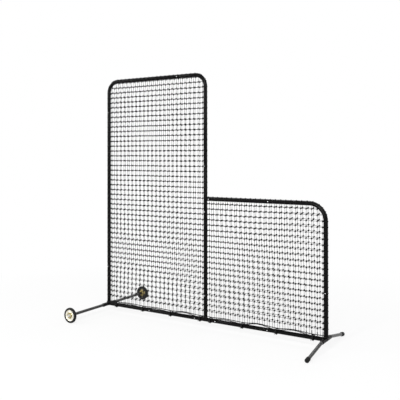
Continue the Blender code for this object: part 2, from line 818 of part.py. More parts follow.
def tie_places():
    """Where ties hold the border rope to the bottom rail, evenly along each bay."""
    places = []
    clear = BASE_TEE_REACH / 2
    left_bay = (LEFT_X + BASE_TEE_REACH, MID_X - clear)
    right_bay = (MID_X + clear, RIGHT_X - BASE_TEE_REACH)
    for low, high in (left_bay, right_bay):
        count = round((high - low) / TIE_SPACING)
        places += [low + (high - low) * k / count for k in range(count + 1)]
    return places


def rope_height(x):
    """Height of the border rope: drawn down at the ties, bowed up between them by each span's share."""
    low_z = RAIL_Z + ROPE_LIFT
    ties = tie_places()
    for k, (before, after) in enumerate(zip(ties, ties[1:])):
        if before <= x <= after:
            reach = (x - before) / (after - before)
            span_share = min((after - before) / TIE_SPACING, 1)
            bow = ROPE_BOW * ROPE_BOW_SHARES[k % len(ROPE_BOW_SHARES)] * span_share
            return low_z + bow * math.sin(math.pi * reach) ** 2
    return low_z


def rope_stations():
    """The rope's modelled points along X: the posts, every tie and equal steps between ties."""
    ties = tie_places()
    places = [LEFT_X]
    for before, after in zip(ties, ties[1:]):
        places += [before + (after - before) * k / ROPE_STEPS for k in range(ROPE_STEPS)]
    return places + [ties[-1], RIGHT_X]


def rope_line_height(x):
    """Height of the rope's modelled centre line, which runs straight between its points."""
    places = rope_stations()
    for before, after in zip(places, places[1:]):
        if before <= x <= after:
            share = (x - before) / (after - before)
            return rope_height(before) * (1 - share) + rope_height(after) * share
    return RAIL_Z + ROPE_LIFT


def make_net(twine):
    """Both bays of the net, turned round the posts and hung over the top rails."""
    low_z = RAIL_Z + ROPE_LIFT + ROPE_BOW + ROPE_DIAMETER
    split = TUBE_R * NET_SPLIT_SHARE
    bays = (
        ("net_tall_bay", LEFT_X, MID_X - split, TOP_Z, TALL_BEND_RADIUS),
        ("net_short_bay", MID_X + split, RIGHT_X, SHORT_Z, SHORT_BEND_RADIUS),
    )
    for name, left_x, right_x, head_z, bend in bays:
        tall = head_z == TOP_Z
        rows = []
        first_row = low_z + PITCH / 2
        count = int((head_z - bend - first_row) / PITCH) + 1
        for k in range(count):
            z = first_row + k * PITCH
            above = z > SHORT_Z + TUBE_R
            edge_x = MID_X if above else right_x
            loop = tall and above
            path = row_path(z, left_x, edge_x, tall, above or not tall)
            rows.append(strand(path, Z_AXIS, TWINE, closed=loop))
        inner_low = left_x + (bend if tall else TUBE_R)
        inner_high = right_x - (bend if not tall else TUBE_R)
        if tall:
            inner_high = MID_X - bend
        columns = []
        for x in spread(inner_low, inner_high, PITCH):
            foot = rope_line_height(x) + ROPE_DIAMETER / 2 + TWINE / 2
            columns.append(strand(column_path(x, foot, head_z), X_AXIS, CROSS_TWINE))
        place(name, combine(joined(rows), joined(columns), "UNION"), twine)


def rope_path():
    """The border rope's closed route: along the front, round the right post, back and round the left."""
    offset = TUBE_R + GAP + ROPE_DIAMETER / 2
    xs = rope_stations()
    low_z = RAIL_Z + ROPE_LIFT
    front = [Vector((x, -offset, rope_height(x))) for x in xs]
    right = [Vector((RIGHT_X + out, along, low_z)) for out, along in half_round(offset)]
    back = [Vector((x, offset, rope_height(x))) for x in reversed(xs)]
    left = [Vector((LEFT_X - out, -along, low_z)) for out, along in half_round(offset)]
    return front + right + back + left


def tie_path(x):
    """Round the bottom rail and over both runs of the border rope."""
    side = TUBE_R + GAP + ROPE_DIAMETER
    low = TUBE_R + GAP + TIE_DIAMETER / 2
    high = ROPE_LIFT + ROPE_DIAMETER / 2
    path = []
    for k in range(TIE_STEPS):
        across = math.cos(math.tau * k / TIE_STEPS)
        rise = math.sin(math.tau * k / TIE_STEPS)
        wide = side * math.copysign(abs(across) ** TIE_SQUARENESS_SHARE, across)
        tall = (high if rise > 0 else low) * math.copysign(abs(rise) ** TIE_SQUARENESS_SHARE, rise)
        path.append(Vector((x, wide, RAIL_Z + tall)))
    return path


def make_rope(cord):
    """The border rope, one closed loop, with the ties that lash it to the bottom rail."""
    rope = rod(rope_path(), Z_AXIS, ROPE_DIAMETER / 2, ROPE_SIDES, closed=True)
    for x in tie_places():
        tie = rod(tie_path(x), X_AXIS, TIE_DIAMETER / 2, ROPE_SIDES, closed=True)
        rope = combine(rope, tie, "UNION")
    place("net_border_rope", rope, cord)


def main():
    """Clear the scene and make every piece."""
    for item in list(bpy.context.scene.objects):
        bpy.data.objects.remove(item)
    steel = paint("powder_coated_steel", (0.012, 0.012, 0.013), 0.35)
    paints = {
        "rubber": paint("tyre_rubber", (0.015, 0.014, 0.014), 0.7),
        "hub": paint("hub_enamel", (0.62, 0.55, 0.36), 0.4),
        "brass": paint("yellow_zinc", (0.55, 0.43, 0.16), 0.3, 0.8),
        "nylon": paint("nylon", (0.05, 0.05, 0.05), 0.5),
        "zinc": paint("bright_zinc", (0.6, 0.6, 0.6), 0.3, 0.9),
    }
    joints = frame_joints()
    make_frame(joints, steel)
    ends = make_legs(joints, steel)
    make_caps(ends, paint("cap_rubber", (0.01, 0.01, 0.01), 0.6))
    make_buttons(joints, paints["zinc"])
    make_wheels(ends, paints)
    make_net(paint("net_twine", (0.02, 0.02, 0.02), 0.8))
    make_rope(paint("black_cord", (0.015, 0.015, 0.015), 0.8))


main()
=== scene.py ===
"""Looks of a baseball L screen: smooth tubes with welds and button holes, wheels, and a knotted
double net with its border rope, built around the fixed frame.

Metres, +Z up, in the frame's own coordinates. X runs along the screen and the pitcher stands on
the -Y side."""

import math

import bmesh
import bpy
from mathutils import Matrix, Vector


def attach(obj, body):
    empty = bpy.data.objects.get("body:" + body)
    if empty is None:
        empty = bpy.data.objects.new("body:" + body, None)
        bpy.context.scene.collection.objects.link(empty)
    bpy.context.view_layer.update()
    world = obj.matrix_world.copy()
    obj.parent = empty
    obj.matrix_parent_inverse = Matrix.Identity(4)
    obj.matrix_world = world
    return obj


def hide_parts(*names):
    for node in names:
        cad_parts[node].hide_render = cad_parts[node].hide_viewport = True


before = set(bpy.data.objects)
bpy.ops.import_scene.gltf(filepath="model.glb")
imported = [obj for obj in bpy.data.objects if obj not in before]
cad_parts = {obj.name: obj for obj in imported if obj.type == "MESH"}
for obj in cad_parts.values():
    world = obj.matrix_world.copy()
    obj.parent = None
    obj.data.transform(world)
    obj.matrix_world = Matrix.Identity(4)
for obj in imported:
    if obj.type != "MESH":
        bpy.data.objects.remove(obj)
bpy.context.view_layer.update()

X_AXIS = Vector((1, 0, 0))
Y_AXIS = Vector((0, 1, 0))
Z_AXIS = Vector((0, 0, 1))

# Sizes of the frame that the pieces are built around
TUBE_R = 0.016
TUBE_WALL = 0.0015
BORE_R = TUBE_R - TUBE_WALL
GAP = 0.0003
SPIGOT_R = BORE_R - GAP
SPIGOT_BORE_R = SPIGOT_R - TUBE_WALL
SPIGOT_LENGTH = 0.038
SWAGE_LENGTH = 0.006
BUTTON_SETBACK = 0.018
BUTTON_R = 0.004
SLEEVE_R = 0.0158
SLEEVE_BORE_R = 0.0128
SLEEVE_LENGTH = 0.17
LEG_R = 0.0125
LEG_BORE_R = 0.011
LEG_INSERT = 0.07
TALL_BEND = 0.1
SHORT_BEND = 0.128
FOOT_BEND = 0.06
FOOT_BEND_START = 0.006
FOOT_REACH = 0.372
FOOT_TIP_Z = 0.015
WHEEL_REACH = 0.483
WHEEL_OUT = 0.021
GILT_R = 0.033

LEFT_X = -1.03015
MID_X = 0.02085
RIGHT_X = 1.07185
RAIL_Z = 0.065
TOP_Z = 2.1149
SHORT_Z = 1.07191

TOP_LONG = 0.76996
TOP_SHORT = 0.281
MID_LOW_Z = 0.9652
BASE_TEE_REACH = 0.1
POST_STUB_Z = 0.41
TEE_STUB_Z = 0.265
STUB_REACH = 0.039
SHORT_BEND_REACH = 0.467
CORNER_REACH = 0.475

TUBE_SIDES = 32
BEND_STEPS = 20


def placed(name, data):
    """A new object in the scene."""
    item = bpy.data.objects.new(name, data)
    bpy.context.scene.collection.objects.link(item)
    return item


# Camera

def make_camera():
    """The photograph's camera: turned from the screen's face, level, its frame shifted down."""
    focal_px = 605.36
    principal_y = 151.18
    size_px = 400
    data = bpy.data.cameras.new("camera")
    data.sensor_width = 36.0
    data.lens = focal_px / size_px * data.sensor_width
    data.shift_y = (principal_y - size_px / 2) / size_px
    data.clip_end = 100
    camera = placed("camera", data)
    yaw = math.radians(32.188)
    pitch = math.radians(0.432)
    roll = math.radians(-0.056)
    camera.location = (2.6825, -4.3129, 1.4328)
    turn = Matrix.Rotation(yaw, 4, "Z") @ Matrix.Rotation(math.pi / 2 + pitch, 4, "X")
    camera.rotation_euler = (turn @ Matrix.Rotation(roll, 4, "Z")).to_euler()
    bpy.context.scene.camera = camera


# Materials

class Nodes:
    """The node tree of a material or a world, with short ways to add to it."""

    def __init__(self, owner):
        owner.use_nodes = True
        self.tree = owner.node_tree
        self.shader = self.tree.nodes.get("Principled BSDF") or self.tree.nodes["Background"]

    def put(self, socket, value):
        """Give a socket a value or a link."""
        if isinstance(value, bpy.types.NodeSocket):
            self.tree.links.new(value, socket)
        else:
            socket.default_value = value

    def set(self, name, value):
        """Set or link one of the shader's own sockets."""
        self.put(self.shader.inputs[name], value)

    def add(self, kind, inputs=(), output=0, **properties):
        """A node with its properties and inputs set; returns one of its outputs."""
        node = self.tree.nodes.new(kind)
        for key, value in properties.items():
            setattr(node, key, value)
        for key, value in dict(inputs).items():
            self.put(node.inputs[key], value)
        return node.outputs[output]

    def place(self, kind="Object"):
        """Where a point lies, by the object's own coordinates or by its UV."""
        return self.add("ShaderNodeTexCoord", output=kind)

    def parts(self, vector):
        """The X, Y and Z of a vector."""
        node = self.tree.nodes.new("ShaderNodeSeparateXYZ")
        self.put(node.inputs[0], vector)
        return node.outputs

    def noise(self, scale, detail=3.0, roughness=0.5):
        """Noise from the object's own coordinates."""
        return self.add("ShaderNodeTexNoise", {
            "Scale": scale, "Detail": detail, "Roughness": roughness, "Vector": self.place()}, "Fac")

    def spread(self, value, low, high, to_low=0.0, to_high=1.0):
        """A value stretched from one range to another."""
        return self.add("ShaderNodeMapRange", {"Value": value, "From Min": low, "From Max": high,
                                               "To Min": to_low, "To Max": to_high}, "Result")

    def blend(self, share, first, second):
        """Two colours mixed by a share."""
        return self.add("ShaderNodeMix", {"Factor": share, 6: first, 7: second}, 2, data_type="RGBA")

    def math(self, operation, first, second=0.0):
        """Two values combined."""
        return self.add("ShaderNodeMath", {0: first, 1: second}, operation=operation)

    def bump(self, height, depth, strength):
        """A bump from a height."""
        values = {"Height": height, "Distance": depth, "Strength": strength}
        return self.add("ShaderNodeBump", values, "Normal")


MATERIALS = {}


def material_nodes(name):
    """The nodes of a new material."""
    MATERIALS[name] = bpy.data.materials.new(name)
    return Nodes(MATERIALS[name])


def grey(value):
    """A neutral colour."""
    return (value, value, value, 1.0)


def mottled(name, cloud, levels, colours, rough, grain=None, gloss=0.5, metal=0.0):
    """Two colours that meet between two levels of a broad noise, over a fine grain.

    grain is a noise's scale and detail, then its depth and strength."""
    n = material_nodes(name)
    broad = n.noise(*cloud)
    n.set("Base Color", n.blend(n.spread(broad, *levels), *colours))
    n.set("Roughness", n.spread(broad, 0.3, 0.7, *rough) if isinstance(rough, tuple) else rough)
    n.set("Specular IOR Level", gloss)
    n.set("Metallic", metal)
    if grain:
        scale, detail, depth, strength = grain
        n.set("Normal", n.bump(n.noise(scale, detail), depth, strength))


def hub_enamel():
    """The pressed hub: bright yellowish plate outside; inside, a gilt middle ringed by near-black painted
    shade.
    """
    n = material_nodes("hub")
    parts = n.parts(n.place())
    outer = n.math("GREATER_THAN", n.math("ABSOLUTE", parts["Y"]), WHEEL_REACH + WHEEL_OUT)
    across = n.math("POWER", n.math("SUBTRACT", parts["X"], LEFT_X), 2.0)
    rise = n.math("POWER", n.math("SUBTRACT", parts["Z"], RAIL_Z), 2.0)
    middle = n.math("LESS_THAN", n.math("ADD", across, rise), GILT_R ** 2)
    mottle = n.spread(n.noise(70, 5.0), 0.35, 0.7)
    plate = n.blend(mottle, (0.86, 0.84, 0.76, 1), (0.74, 0.7, 0.57, 1))
    gilt = n.blend(mottle, (0.46, 0.38, 0.17, 1), (0.36, 0.28, 0.11, 1))
    # Painted shade: the inside face round the gilt middle is coloured near black for the shadow it lies in.
    black = n.blend(mottle, (0.006, 0.006, 0.006, 1), (0.014, 0.013, 0.012, 1))
    n.set("Base Color", n.blend(outer, n.blend(middle, black, gilt), plate))
    n.set("Metallic", n.math("MULTIPLY", n.math("MAXIMUM", outer, middle), 0.6))
    n.set("Roughness", n.spread(mottle, 0.0, 1.0, 0.2, 0.34))
    n.set("Normal", n.bump(n.noise(500, 2.0), 0.0001, 0.4))


def twine(name, lay_per_metre):
    """Tarred black cord whose lay runs slantwise round it, from the strand's own UV."""
    n = material_nodes(name)
    along = n.add("ShaderNodeMapping", {"Vector": n.place("UV"), "Scale": (1.0, lay_per_metre, 1.0)})
    parts = n.parts(along)
    phase = n.math("ADD", n.math("MULTIPLY", parts["X"], math.tau * 2),
                   n.math("MULTIPLY", parts["Y"], math.tau))
    lay = n.math("MULTIPLY", n.math("SINE", phase), 0.5)
    height = n.math("ADD", lay, n.math("MULTIPLY", n.noise(1500, 2.0), 0.5))
    n.set("Base Color", n.blend(n.spread(n.noise(25, 4.0), 0.3, 0.7), grey(0.003), grey(0.008)))
    n.set("Roughness", 0.7)
    n.set("Specular IOR Level", 0.2)
    n.set("Normal", n.bump(height, 0.0004, 0.8))


# Powder coat, rubber, plated steel, nylon and cord
PEEL = (900, 2.0, 0.00012, 0.5)
mottled("frame_coat", (14, 4.0), (0.3, 0.7), (grey(0.0006), grey(0.0014)), (0.2, 0.3), PEEL, gloss=0.09)
# The legs' coat is the frame's black powder coat painted lighter, a painted sheen for the light the legs
# catch.
mottled("leg_coat", (14, 4.0), (0.3, 0.7), (grey(0.003), grey(0.006)), (0.2, 0.3), PEEL, gloss=0.42)
mottled("cap_rubber", (60, 5.0), (0.45, 0.75), (grey(0.003), (0.008, 0.0078, 0.0075, 1)), (0.55, 0.75),
        (700, 2.0, 0.0001, 0.6), gloss=0.18)
mottled("tyre", (45, 6.0, 0.6), (0.4, 0.75), (grey(0.005), (0.013, 0.012, 0.0115, 1)), (0.5, 0.72),
        (500, 3.0, 0.00015, 0.6), gloss=0.22)
mottled("bright_zinc", (220, 4.0), (0.4, 0.7), ((0.72, 0.72, 0.73, 1), grey(0.5)), (0.22, 0.4),
        metal=0.9)
mottled("yellow_zinc", (38, 4.0), (0.35, 0.7), ((0.36, 0.3, 0.12, 1), (0.26, 0.2, 0.07, 1)),
        (0.2, 0.34), metal=0.75)
mottled("nylon", (90, 3.0), (0.0, 1.0), (grey(0.03), grey(0.05)), 0.45, (800, 2.0, 0.00008, 0.5))
hub_enamel()
twine("net_twine", 220)
twine("border_cord", 160)


# Shape tools

class Shape:
    """Points, faces and UVs of one piece as it is put together."""

    def __init__(self):
        self.points = []
        self.faces = []
        self.uvs = []

    def ring(self, points):
        """Add a ring of points; returns where it starts."""
        start = len(self.points)
        self.points.extend(points)
        return start

    def band(self, low, high, sides, v_low=0.0, v_high=1.0):
        """Join two rings with quads."""
        for k in range(sides):
            n = (k + 1) % sides
            self.faces.append((low + k, low + n, high + n, high + k))
            left = k / sides
            right = (k + 1) / sides
            self.uvs.extend(((left, v_low), (right, v_low), (right, v_high), (left, v_high)))

    def lid(self, start, sides, up=True):
        """Close a ring with one face."""
        face = tuple(range(start, start + sides))
        self.faces.append(face if up else face[::-1])
        self.uvs.extend([(0.5, 0.5)] * sides)

    def mesh(self, name):
        """The finished mesh, faces out."""
        mesh = bpy.data.meshes.new(name)
        mesh.from_pydata([tuple(p) for p in self.points], [], self.faces)
        layer = mesh.uv_layers.new(name="along")
        layer.data.foreach_set("uv", [c for pair in self.uvs for c in pair])
        mesh.shade_smooth()
        return mesh


def circle(count, shift=0.0):
    """Angles evenly round a circle."""
    return [math.tau * (k + shift) / count for k in range(count)]


def directions(points, closed=False):
    """The direction of a path at each of its points."""
    first, last = (points[-1], points[0]) if closed else (points[0], points[-1])
    line = [first, *points, last]
    return [(after - before).normalized() for before, after in zip(line, line[2:])]


def add_rod(shape, points, radius, sides, closed=False, lids=True, normal=None, shift=0.0):
    """Sweep a round section along a path.

    radius may be one for each point; shift turns the place where each ring starts."""
    ways = directions(points, closed)
    radii = radius if isinstance(radius, (list, tuple)) else [radius] * len(points)
    side = (normal or (Z_AXIS if abs(ways[0].z) < 0.9 else X_AXIS)).copy()
    starts = []
    lengths = [0.0]
    for a, b in zip(points, points[1:]):
        lengths.append(lengths[-1] + (b - a).length)
    for point, way, r in zip(points, ways, radii):
        side = (side - way * side.dot(way)).normalized()
        across = way.cross(side)
        starts.append(shape.ring([point + r * (math.cos(a) * side + math.sin(a) * across)
                                  for a in circle(sides, shift)]))
    for i in range(len(starts) - 1):
        shape.band(starts[i], starts[i + 1], sides, lengths[i], lengths[i + 1])
    if closed:
        total = lengths[-1] + (points[0] - points[-1]).length
        shape.band(starts[-1], starts[0], sides, lengths[-1], total)
    elif lids:
        shape.lid(starts[0], sides, up=False)
        shape.lid(starts[-1], sides)
    return starts


def arc_path(corners, radius, steps=BEND_STEPS):
    """A path through corner points, each corner rounded."""
    path = [corners[0].copy()]
    for before, corner, after in zip(corners, corners[1:], corners[2:]):
        come = (corner - before).normalized()
        leave = (after - corner).normalized()
        angle = come.angle(leave)
        setback = radius * math.tan(angle / 2)
        centre = corner + (leave - come).normalized() * (radius / math.cos(angle / 2))
        start = corner - come * setback - centre
        axis = come.cross(leave).normalized()
        for k in range(steps + 1):
            path.append(centre + Matrix.Rotation(angle * k / steps, 3, axis) @ start)
    path.append(corners[-1].copy())
    return path


def put(name, mesh, slot, body, nodes):
    """Place a piece that stands for CAD nodes and rides on a body."""
    mesh.name = name
    mesh.materials.clear()
    mesh.materials.append(MATERIALS[slot])
    piece = placed(name, mesh)
    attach(piece, body)
    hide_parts(*nodes)
    return piece


def cut(mesh, tools, operation="DIFFERENCE"):
    """Cut tools from a closed mesh, or join them to it."""
    base = placed("base", mesh)
    tools = [placed("tool", tool_mesh) for tool_mesh in tools]
    for tool in tools:
        change = base.modifiers.new("cut", "BOOLEAN")
        change.operation = operation
        change.solver = "EXACT"
        change.object = tool
    bpy.context.view_layer.update()
    graph = bpy.context.evaluated_depsgraph_get()
    result = bpy.data.meshes.new_from_object(base.evaluated_get(graph))
    for item in [base] + tools:
        bpy.data.objects.remove(item)
    return result


def rod_mesh(points, radius, sides=TUBE_SIDES, shift=0.0):
    """A solid round bar along a path, as a mesh of its own."""
    shape = Shape()
    add_rod(shape, [Vector(p) for p in points], radius, sides, shift=shift)
    return shape.mesh("rod")


# Joints: place on the axis, the way the spigot runs in, and the side the button looks out of

JOINTS = {name: (Vector((x, 0, z)), inward, -Y_AXIS) for name, x, z, inward in (
    ("left_post_low", LEFT_X, POST_STUB_Z, -Z_AXIS),
    ("left_post_high", LEFT_X, TOP_Z - TOP_SHORT, -Z_AXIS),
    ("top_rail", LEFT_X + TOP_LONG, TOP_Z, -X_AXIS),
    ("mid_post_high", MID_X, TOP_Z - TOP_LONG, -Z_AXIS),
    ("mid_post_low", MID_X, MID_LOW_Z, -Z_AXIS),
    ("mid_post_base", MID_X, TEE_STUB_Z, -Z_AXIS),
    ("short_rail_inner", MID_X + STUB_REACH, SHORT_Z, -X_AXIS),
    ("short_rail_outer", RIGHT_X - SHORT_BEND_REACH, SHORT_Z, -X_AXIS),
    ("right_post", RIGHT_X, POST_STUB_Z, -Z_AXIS),
    ("bottom_rail_1", LEFT_X + CORNER_REACH, RAIL_Z, -X_AXIS),
    ("bottom_rail_2", MID_X - BASE_TEE_REACH, RAIL_Z, X_AXIS),
    ("bottom_rail_3", MID_X + BASE_TEE_REACH, RAIL_Z, -X_AXIS),
    ("bottom_rail_4", RIGHT_X - CORNER_REACH, RAIL_Z, X_AXIS),
)}
LEG_ENDS = (("front", -1), ("back", 1))
for side_name, post_x in (("left", LEFT_X), ("right", RIGHT_X)):
    for end_name, way in LEG_ENDS:
        centre = Vector((post_x, way * (SLEEVE_LENGTH / 2 - BUTTON_SETBACK), RAIL_Z))
        JOINTS["%s_leg_%s" % (side_name, end_name)] = (centre, Vector((0, -way, 0)), -Z_AXIS)


def mouth(name):
    """The end of a joint's outer tube, on its axis."""
    centre, inward = JOINTS[name][:2]
    return centre - inward * BUTTON_SETBACK


def spigot_end(name, length=SPIGOT_LENGTH):
    """The end of a joint's inner tube, on its axis."""
    return mouth(name) + JOINTS[name][1] * length


def hole(name):
    """The cutter for a joint's button hole."""
    centre, side = JOINTS[name][::2]
    return rod_mesh([centre + side * 0.005, centre + side * 0.024], BUTTON_R + GAP, 20)


def tube(name, path, joints, start=None, end=None):
    """A hollow tube along a path, drawn down to a spigot at a start or end joint."""
    radius, bore, normal, slot = TUBE_R, BORE_R, Y_AXIS, "frame_coat"
    if "leg" in name:
        radius, bore, normal, slot = LEG_R, LEG_BORE_R, X_AXIS, "leg_coat"
    stations = [(p, radius, bore) for p in path]
    if start:
        stations = drawn_down(stations, start)
    if end:
        stations = drawn_down(stations[::-1], end)
    places, skins, bores = zip(*stations)
    shape = Shape()
    outer = add_rod(shape, places, skins, TUBE_SIDES, lids=False, normal=normal)
    inner = add_rod(shape, places[::-1], bores[::-1], TUBE_SIDES, lids=False, normal=normal)
    rim(shape, outer[-1], inner[0])
    rim(shape, inner[-1], outer[0])
    mesh = cut(closed_up(shape.mesh(name)), [hole(j) for j in joints])
    smooth_by_angle(mesh)
    put(name + "_tube", mesh, slot, "frame", [name])


def drawn_down(stations, joint):
    """Replace a tube's first station by the shoulder and the spigot beyond it."""
    inward = JOINTS[joint][1]
    shoulder = mouth(joint) - inward * GAP
    tip = spigot_end(joint)
    return [
        (tip, SPIGOT_R - 0.0008, SPIGOT_BORE_R),
        (tip - inward * 0.0012, SPIGOT_R, SPIGOT_BORE_R),
        (shoulder, SPIGOT_R, SPIGOT_BORE_R),
        (shoulder - inward * 0.0015, SPIGOT_R + 0.0004, SPIGOT_BORE_R + 0.0004),
        (shoulder - inward * SWAGE_LENGTH, TUBE_R, BORE_R),
    ] + stations[1:]


def rim(shape, first, second):
    """Join the end ring of the skin to the matching ring of the bore."""
    ring_a = shape.points[first:first + TUBE_SIDES]
    ring_b = shape.points[second:second + TUBE_SIDES]
    match = [min(range(TUBE_SIDES), key=lambda m: (ring_b[m] - p).length) for p in ring_a]
    for k in range(TUBE_SIDES):
        n = (k + 1) % TUBE_SIDES
        shape.faces.append((first + k, first + n, second + match[n], second + match[k]))
        shape.uvs.extend([(0.5, 0.5)] * 4)


def closed_up(mesh):
    """Weld loose doubles and turn all faces out."""
    bm = bmesh.new()
    bm.from_mesh(mesh)
    bmesh.ops.remove_doubles(bm, verts=bm.verts, dist=1e-6)
    bmesh.ops.recalc_face_normals(bm, faces=bm.faces)
    bm.to_mesh(mesh)
    bm.free()
    return mesh


def smooth_by_angle(mesh, degrees=35):
    """Smooth shading with sharp edges kept."""
    mesh.shade_smooth()
    mesh.set_sharp_from_angle(angle=math.radians(degrees))


def frame_tube(name, first, last, corner=(), bend=0.0, plugs=True):
    """A tube that plugs in at its first joint and, unless it takes the next tube there, at its last."""
    ends = [spigot_end(first), spigot_end(last) if plugs else mouth(last)]
    path = arc_path([ends[0], Vector(corner), ends[1]], bend) if bend else ends
    tube(name, path, [first, last], start=first, end=last if plugs else None)


def make_tubes():
    """The straight and bent frame tubes and the legs."""
    frame_tube("left_post", "left_post_low", "left_post_high", plugs=False)
    frame_tube("top_bend_left", "left_post_high", "top_rail", (LEFT_X, 0, TOP_Z), TALL_BEND, plugs=False)
    frame_tube("top_bend_right", "top_rail", "mid_post_high", (MID_X, 0, TOP_Z), TALL_BEND)
    frame_tube("mid_post_lower", "mid_post_base", "mid_post_low", plugs=False)
    frame_tube("short_rail", "short_rail_inner", "short_rail_outer", plugs=False)
    frame_tube("short_rail_bend", "short_rail_outer", "right_post", (RIGHT_X, 0, SHORT_Z), SHORT_BEND)
    frame_tube("bottom_rail_left", "bottom_rail_1", "bottom_rail_2")
    frame_tube("bottom_rail_right", "bottom_rail_3", "bottom_rail_4")
    for end_name, way in LEG_ENDS:
        left = "left_leg_" + end_name
        right = "right_leg_" + end_name
        straight = [spigot_end(left, LEG_INSERT), Vector((LEFT_X, way * WHEEL_REACH, RAIL_Z))]
        bent = arc_path(foot_corners(right, way), FOOT_BEND)
        tube(left, straight, [left])
        tube(right, bent, [right])


def foot_corners(joint, way):
    """Corner points of a right leg tube."""
    bend_y = SLEEVE_LENGTH / 2 + FOOT_BEND_START
    angle = math.atan2(RAIL_Z - FOOT_TIP_Z, FOOT_REACH - bend_y)
    elbow_y = bend_y + FOOT_BEND * math.tan(angle / 2)
    return [spigot_end(joint, LEG_INSERT), Vector((RIGHT_X, way * elbow_y, RAIL_Z)),
            Vector((RIGHT_X, way * FOOT_REACH, FOOT_TIP_Z))]


# Welded joints

WELD_R = 0.0021
WELD_SIDES = 40
CUT_PAST = 0.004
# Joined tubes start their facets at different turns, so that none of them coincide
RUN_TURN = 0.5
RISE_TURN = 0.2
SIDE_TURN = 0.35


def joined(meshes):
    """Several meshes as one, its sharp edges kept."""
    bm = bmesh.new()
    for mesh in meshes:
        bm.from_mesh(mesh)
    result = bpy.data.meshes.new("joined")
    bm.to_mesh(result)
    bm.free()
    smooth_by_angle(result, 30)
    return result


def weld_bead(root, branch, host, host_r):
    """The rippled bead where a branch tube meets the tube it is welded to."""
    cross = branch.cross(host)
    count = 96
    points = []
    radii = []
    for k in range(count):
        a = math.tau * k / count
        side = TUBE_R * math.sin(a)
        rise = math.sqrt(max(host_r ** 2 - side ** 2, 0)) + 0.0004
        points.append(root + host * (TUBE_R + 0.0003) * math.cos(a) + cross * side * 1.02 + branch * rise)
        radii.append(WELD_R * (1 + 0.13 * math.sin(math.tau * k / 4) + 0.06 * math.sin(1.7 * k)))
    shape = Shape()
    add_rod(shape, points, radii, 8, closed=True, normal=branch)
    return closed_up(shape.mesh("bead"))


def weldment(name, solid, bores, joints, beads):
    """Tubes fused into one body, bored and drilled, with their weld beads."""
    body = cut(solid, bores + [hole(j) for j in joints])
    put(name + "_weldment", joined([body] + beads), "frame_coat", "frame", [name])


def stub(root, way, joint, turn, host_r=TUBE_R):
    """A branch from a root to a joint's mouth, and its bore, which starts just outside the host tube."""
    end = mouth(joint)
    return (rod_mesh([root, end], TUBE_R, WELD_SIDES, turn),
            rod_mesh([root + way * (host_r + TUBE_WALL), end + way * CUT_PAST], BORE_R, WELD_SIDES, turn))


def base_corner(side, x, way, post_joint, rail_joint):
    """A bottom corner: leg sleeve, post stub and rail stub."""
    corner = Vector((x, 0, RAIL_Z))
    half = Y_AXIS * (SLEEVE_LENGTH / 2)
    along = X_AXIS * way
    post, post_bore = stub(corner, Z_AXIS, post_joint, RISE_TURN, SLEEVE_R)
    rail, rail_bore = stub(corner, along, rail_joint, SIDE_TURN, SLEEVE_R)
    sleeve = rod_mesh([corner - half, corner + half], SLEEVE_R, WELD_SIDES, RUN_TURN)
    bore = rod_mesh([corner - half * 1.05, corner + half * 1.05], SLEEVE_BORE_R, WELD_SIDES, RUN_TURN)
    joints = [post_joint, rail_joint, side + "_leg_front", side + "_leg_back"]
    beads = [weld_bead(corner, branch, Y_AXIS, SLEEVE_R) for branch in (Z_AXIS, along)]
    solid = cut(sleeve, [post, rail], "UNION")
    weldment("base_corner_" + side, solid, [bore, post_bore, rail_bore], joints, beads)


def make_weldments():
    """Both bottom corners, the bottom tee and the mid post section with its stub."""
    base_corner("left", LEFT_X, 1, "left_post_low", "bottom_rail_1")
    base_corner("right", RIGHT_X, -1, "right_post", "bottom_rail_4")

    centre = Vector((MID_X, 0, RAIL_Z))
    left = mouth("bottom_rail_2")
    right = mouth("bottom_rail_3")
    past = X_AXIS * CUT_PAST
    post, post_bore = stub(centre, Z_AXIS, "mid_post_base", RISE_TURN)
    solid = cut(rod_mesh([left, right], TUBE_R, WELD_SIDES, RUN_TURN), [post], "UNION")
    bore = rod_mesh([left - past, right + past], BORE_R, WELD_SIDES, RUN_TURN)
    weldment("base_tee", solid, [bore, post_bore], ["bottom_rail_2", "bottom_rail_3", "mid_post_base"],
             [weld_bead(centre, Z_AXIS, X_AXIS, TUBE_R)])

    root = Vector((MID_X, 0, SHORT_Z))
    past = Z_AXIS * CUT_PAST
    ends = [spigot_end("mid_post_low"), mouth("mid_post_high")]
    places, skins, bores = zip(*drawn_down([(p, TUBE_R, BORE_R) for p in ends], "mid_post_low"))
    outer = Shape()
    add_rod(outer, places, skins, WELD_SIDES)
    inner = Shape()
    add_rod(inner, (places[0] - past,) + places[1:-1] + (places[-1] + past,), bores, WELD_SIDES)
    rail, rail_bore = stub(root, X_AXIS, "short_rail_inner", SIDE_TURN)
    solid = cut(outer.mesh("post"), [rail], "UNION")
    weldment("mid_post_tee", solid, [inner.mesh("bore"), rail_bore],
             ["mid_post_high", "mid_post_low", "short_rail_inner"],
             [weld_bead(root, X_AXIS, Z_AXIS, TUBE_R)])


# Turned pieces: wheels, axles and foot caps

def turned_mesh(profile, sides, origin, direction):
    """Turn (radius, height) points about a direction; a ring unless the profile starts on the axis."""
    side = Z_AXIS if abs(direction.z) < 0.9 else X_AXIS
    side = (side - direction * side.dot(direction)).normalized()
    across = direction.cross(side)
    ways = [math.cos(a) * side + math.sin(a) * across for a in circle(sides)]
    shape = Shape()
    starts = [shape.ring([origin + direction * height + radius * way for way in ways])
              for radius, height in profile]
    pairs = list(zip(starts, starts[1:]))
    if profile[0][0] > 0:
        pairs.append((starts[-1], starts[0]))
    for a, b in pairs:
        shape.band(a, b, sides)
    mesh = closed_up(shape.mesh("turned"))
    smooth_by_angle(mesh, 40)
    return mesh


def mirrored(outer):
    """A profile followed by its mirror image on the other side of the middle."""
    return outer + [(r, -h) for r, h in reversed(outer)]


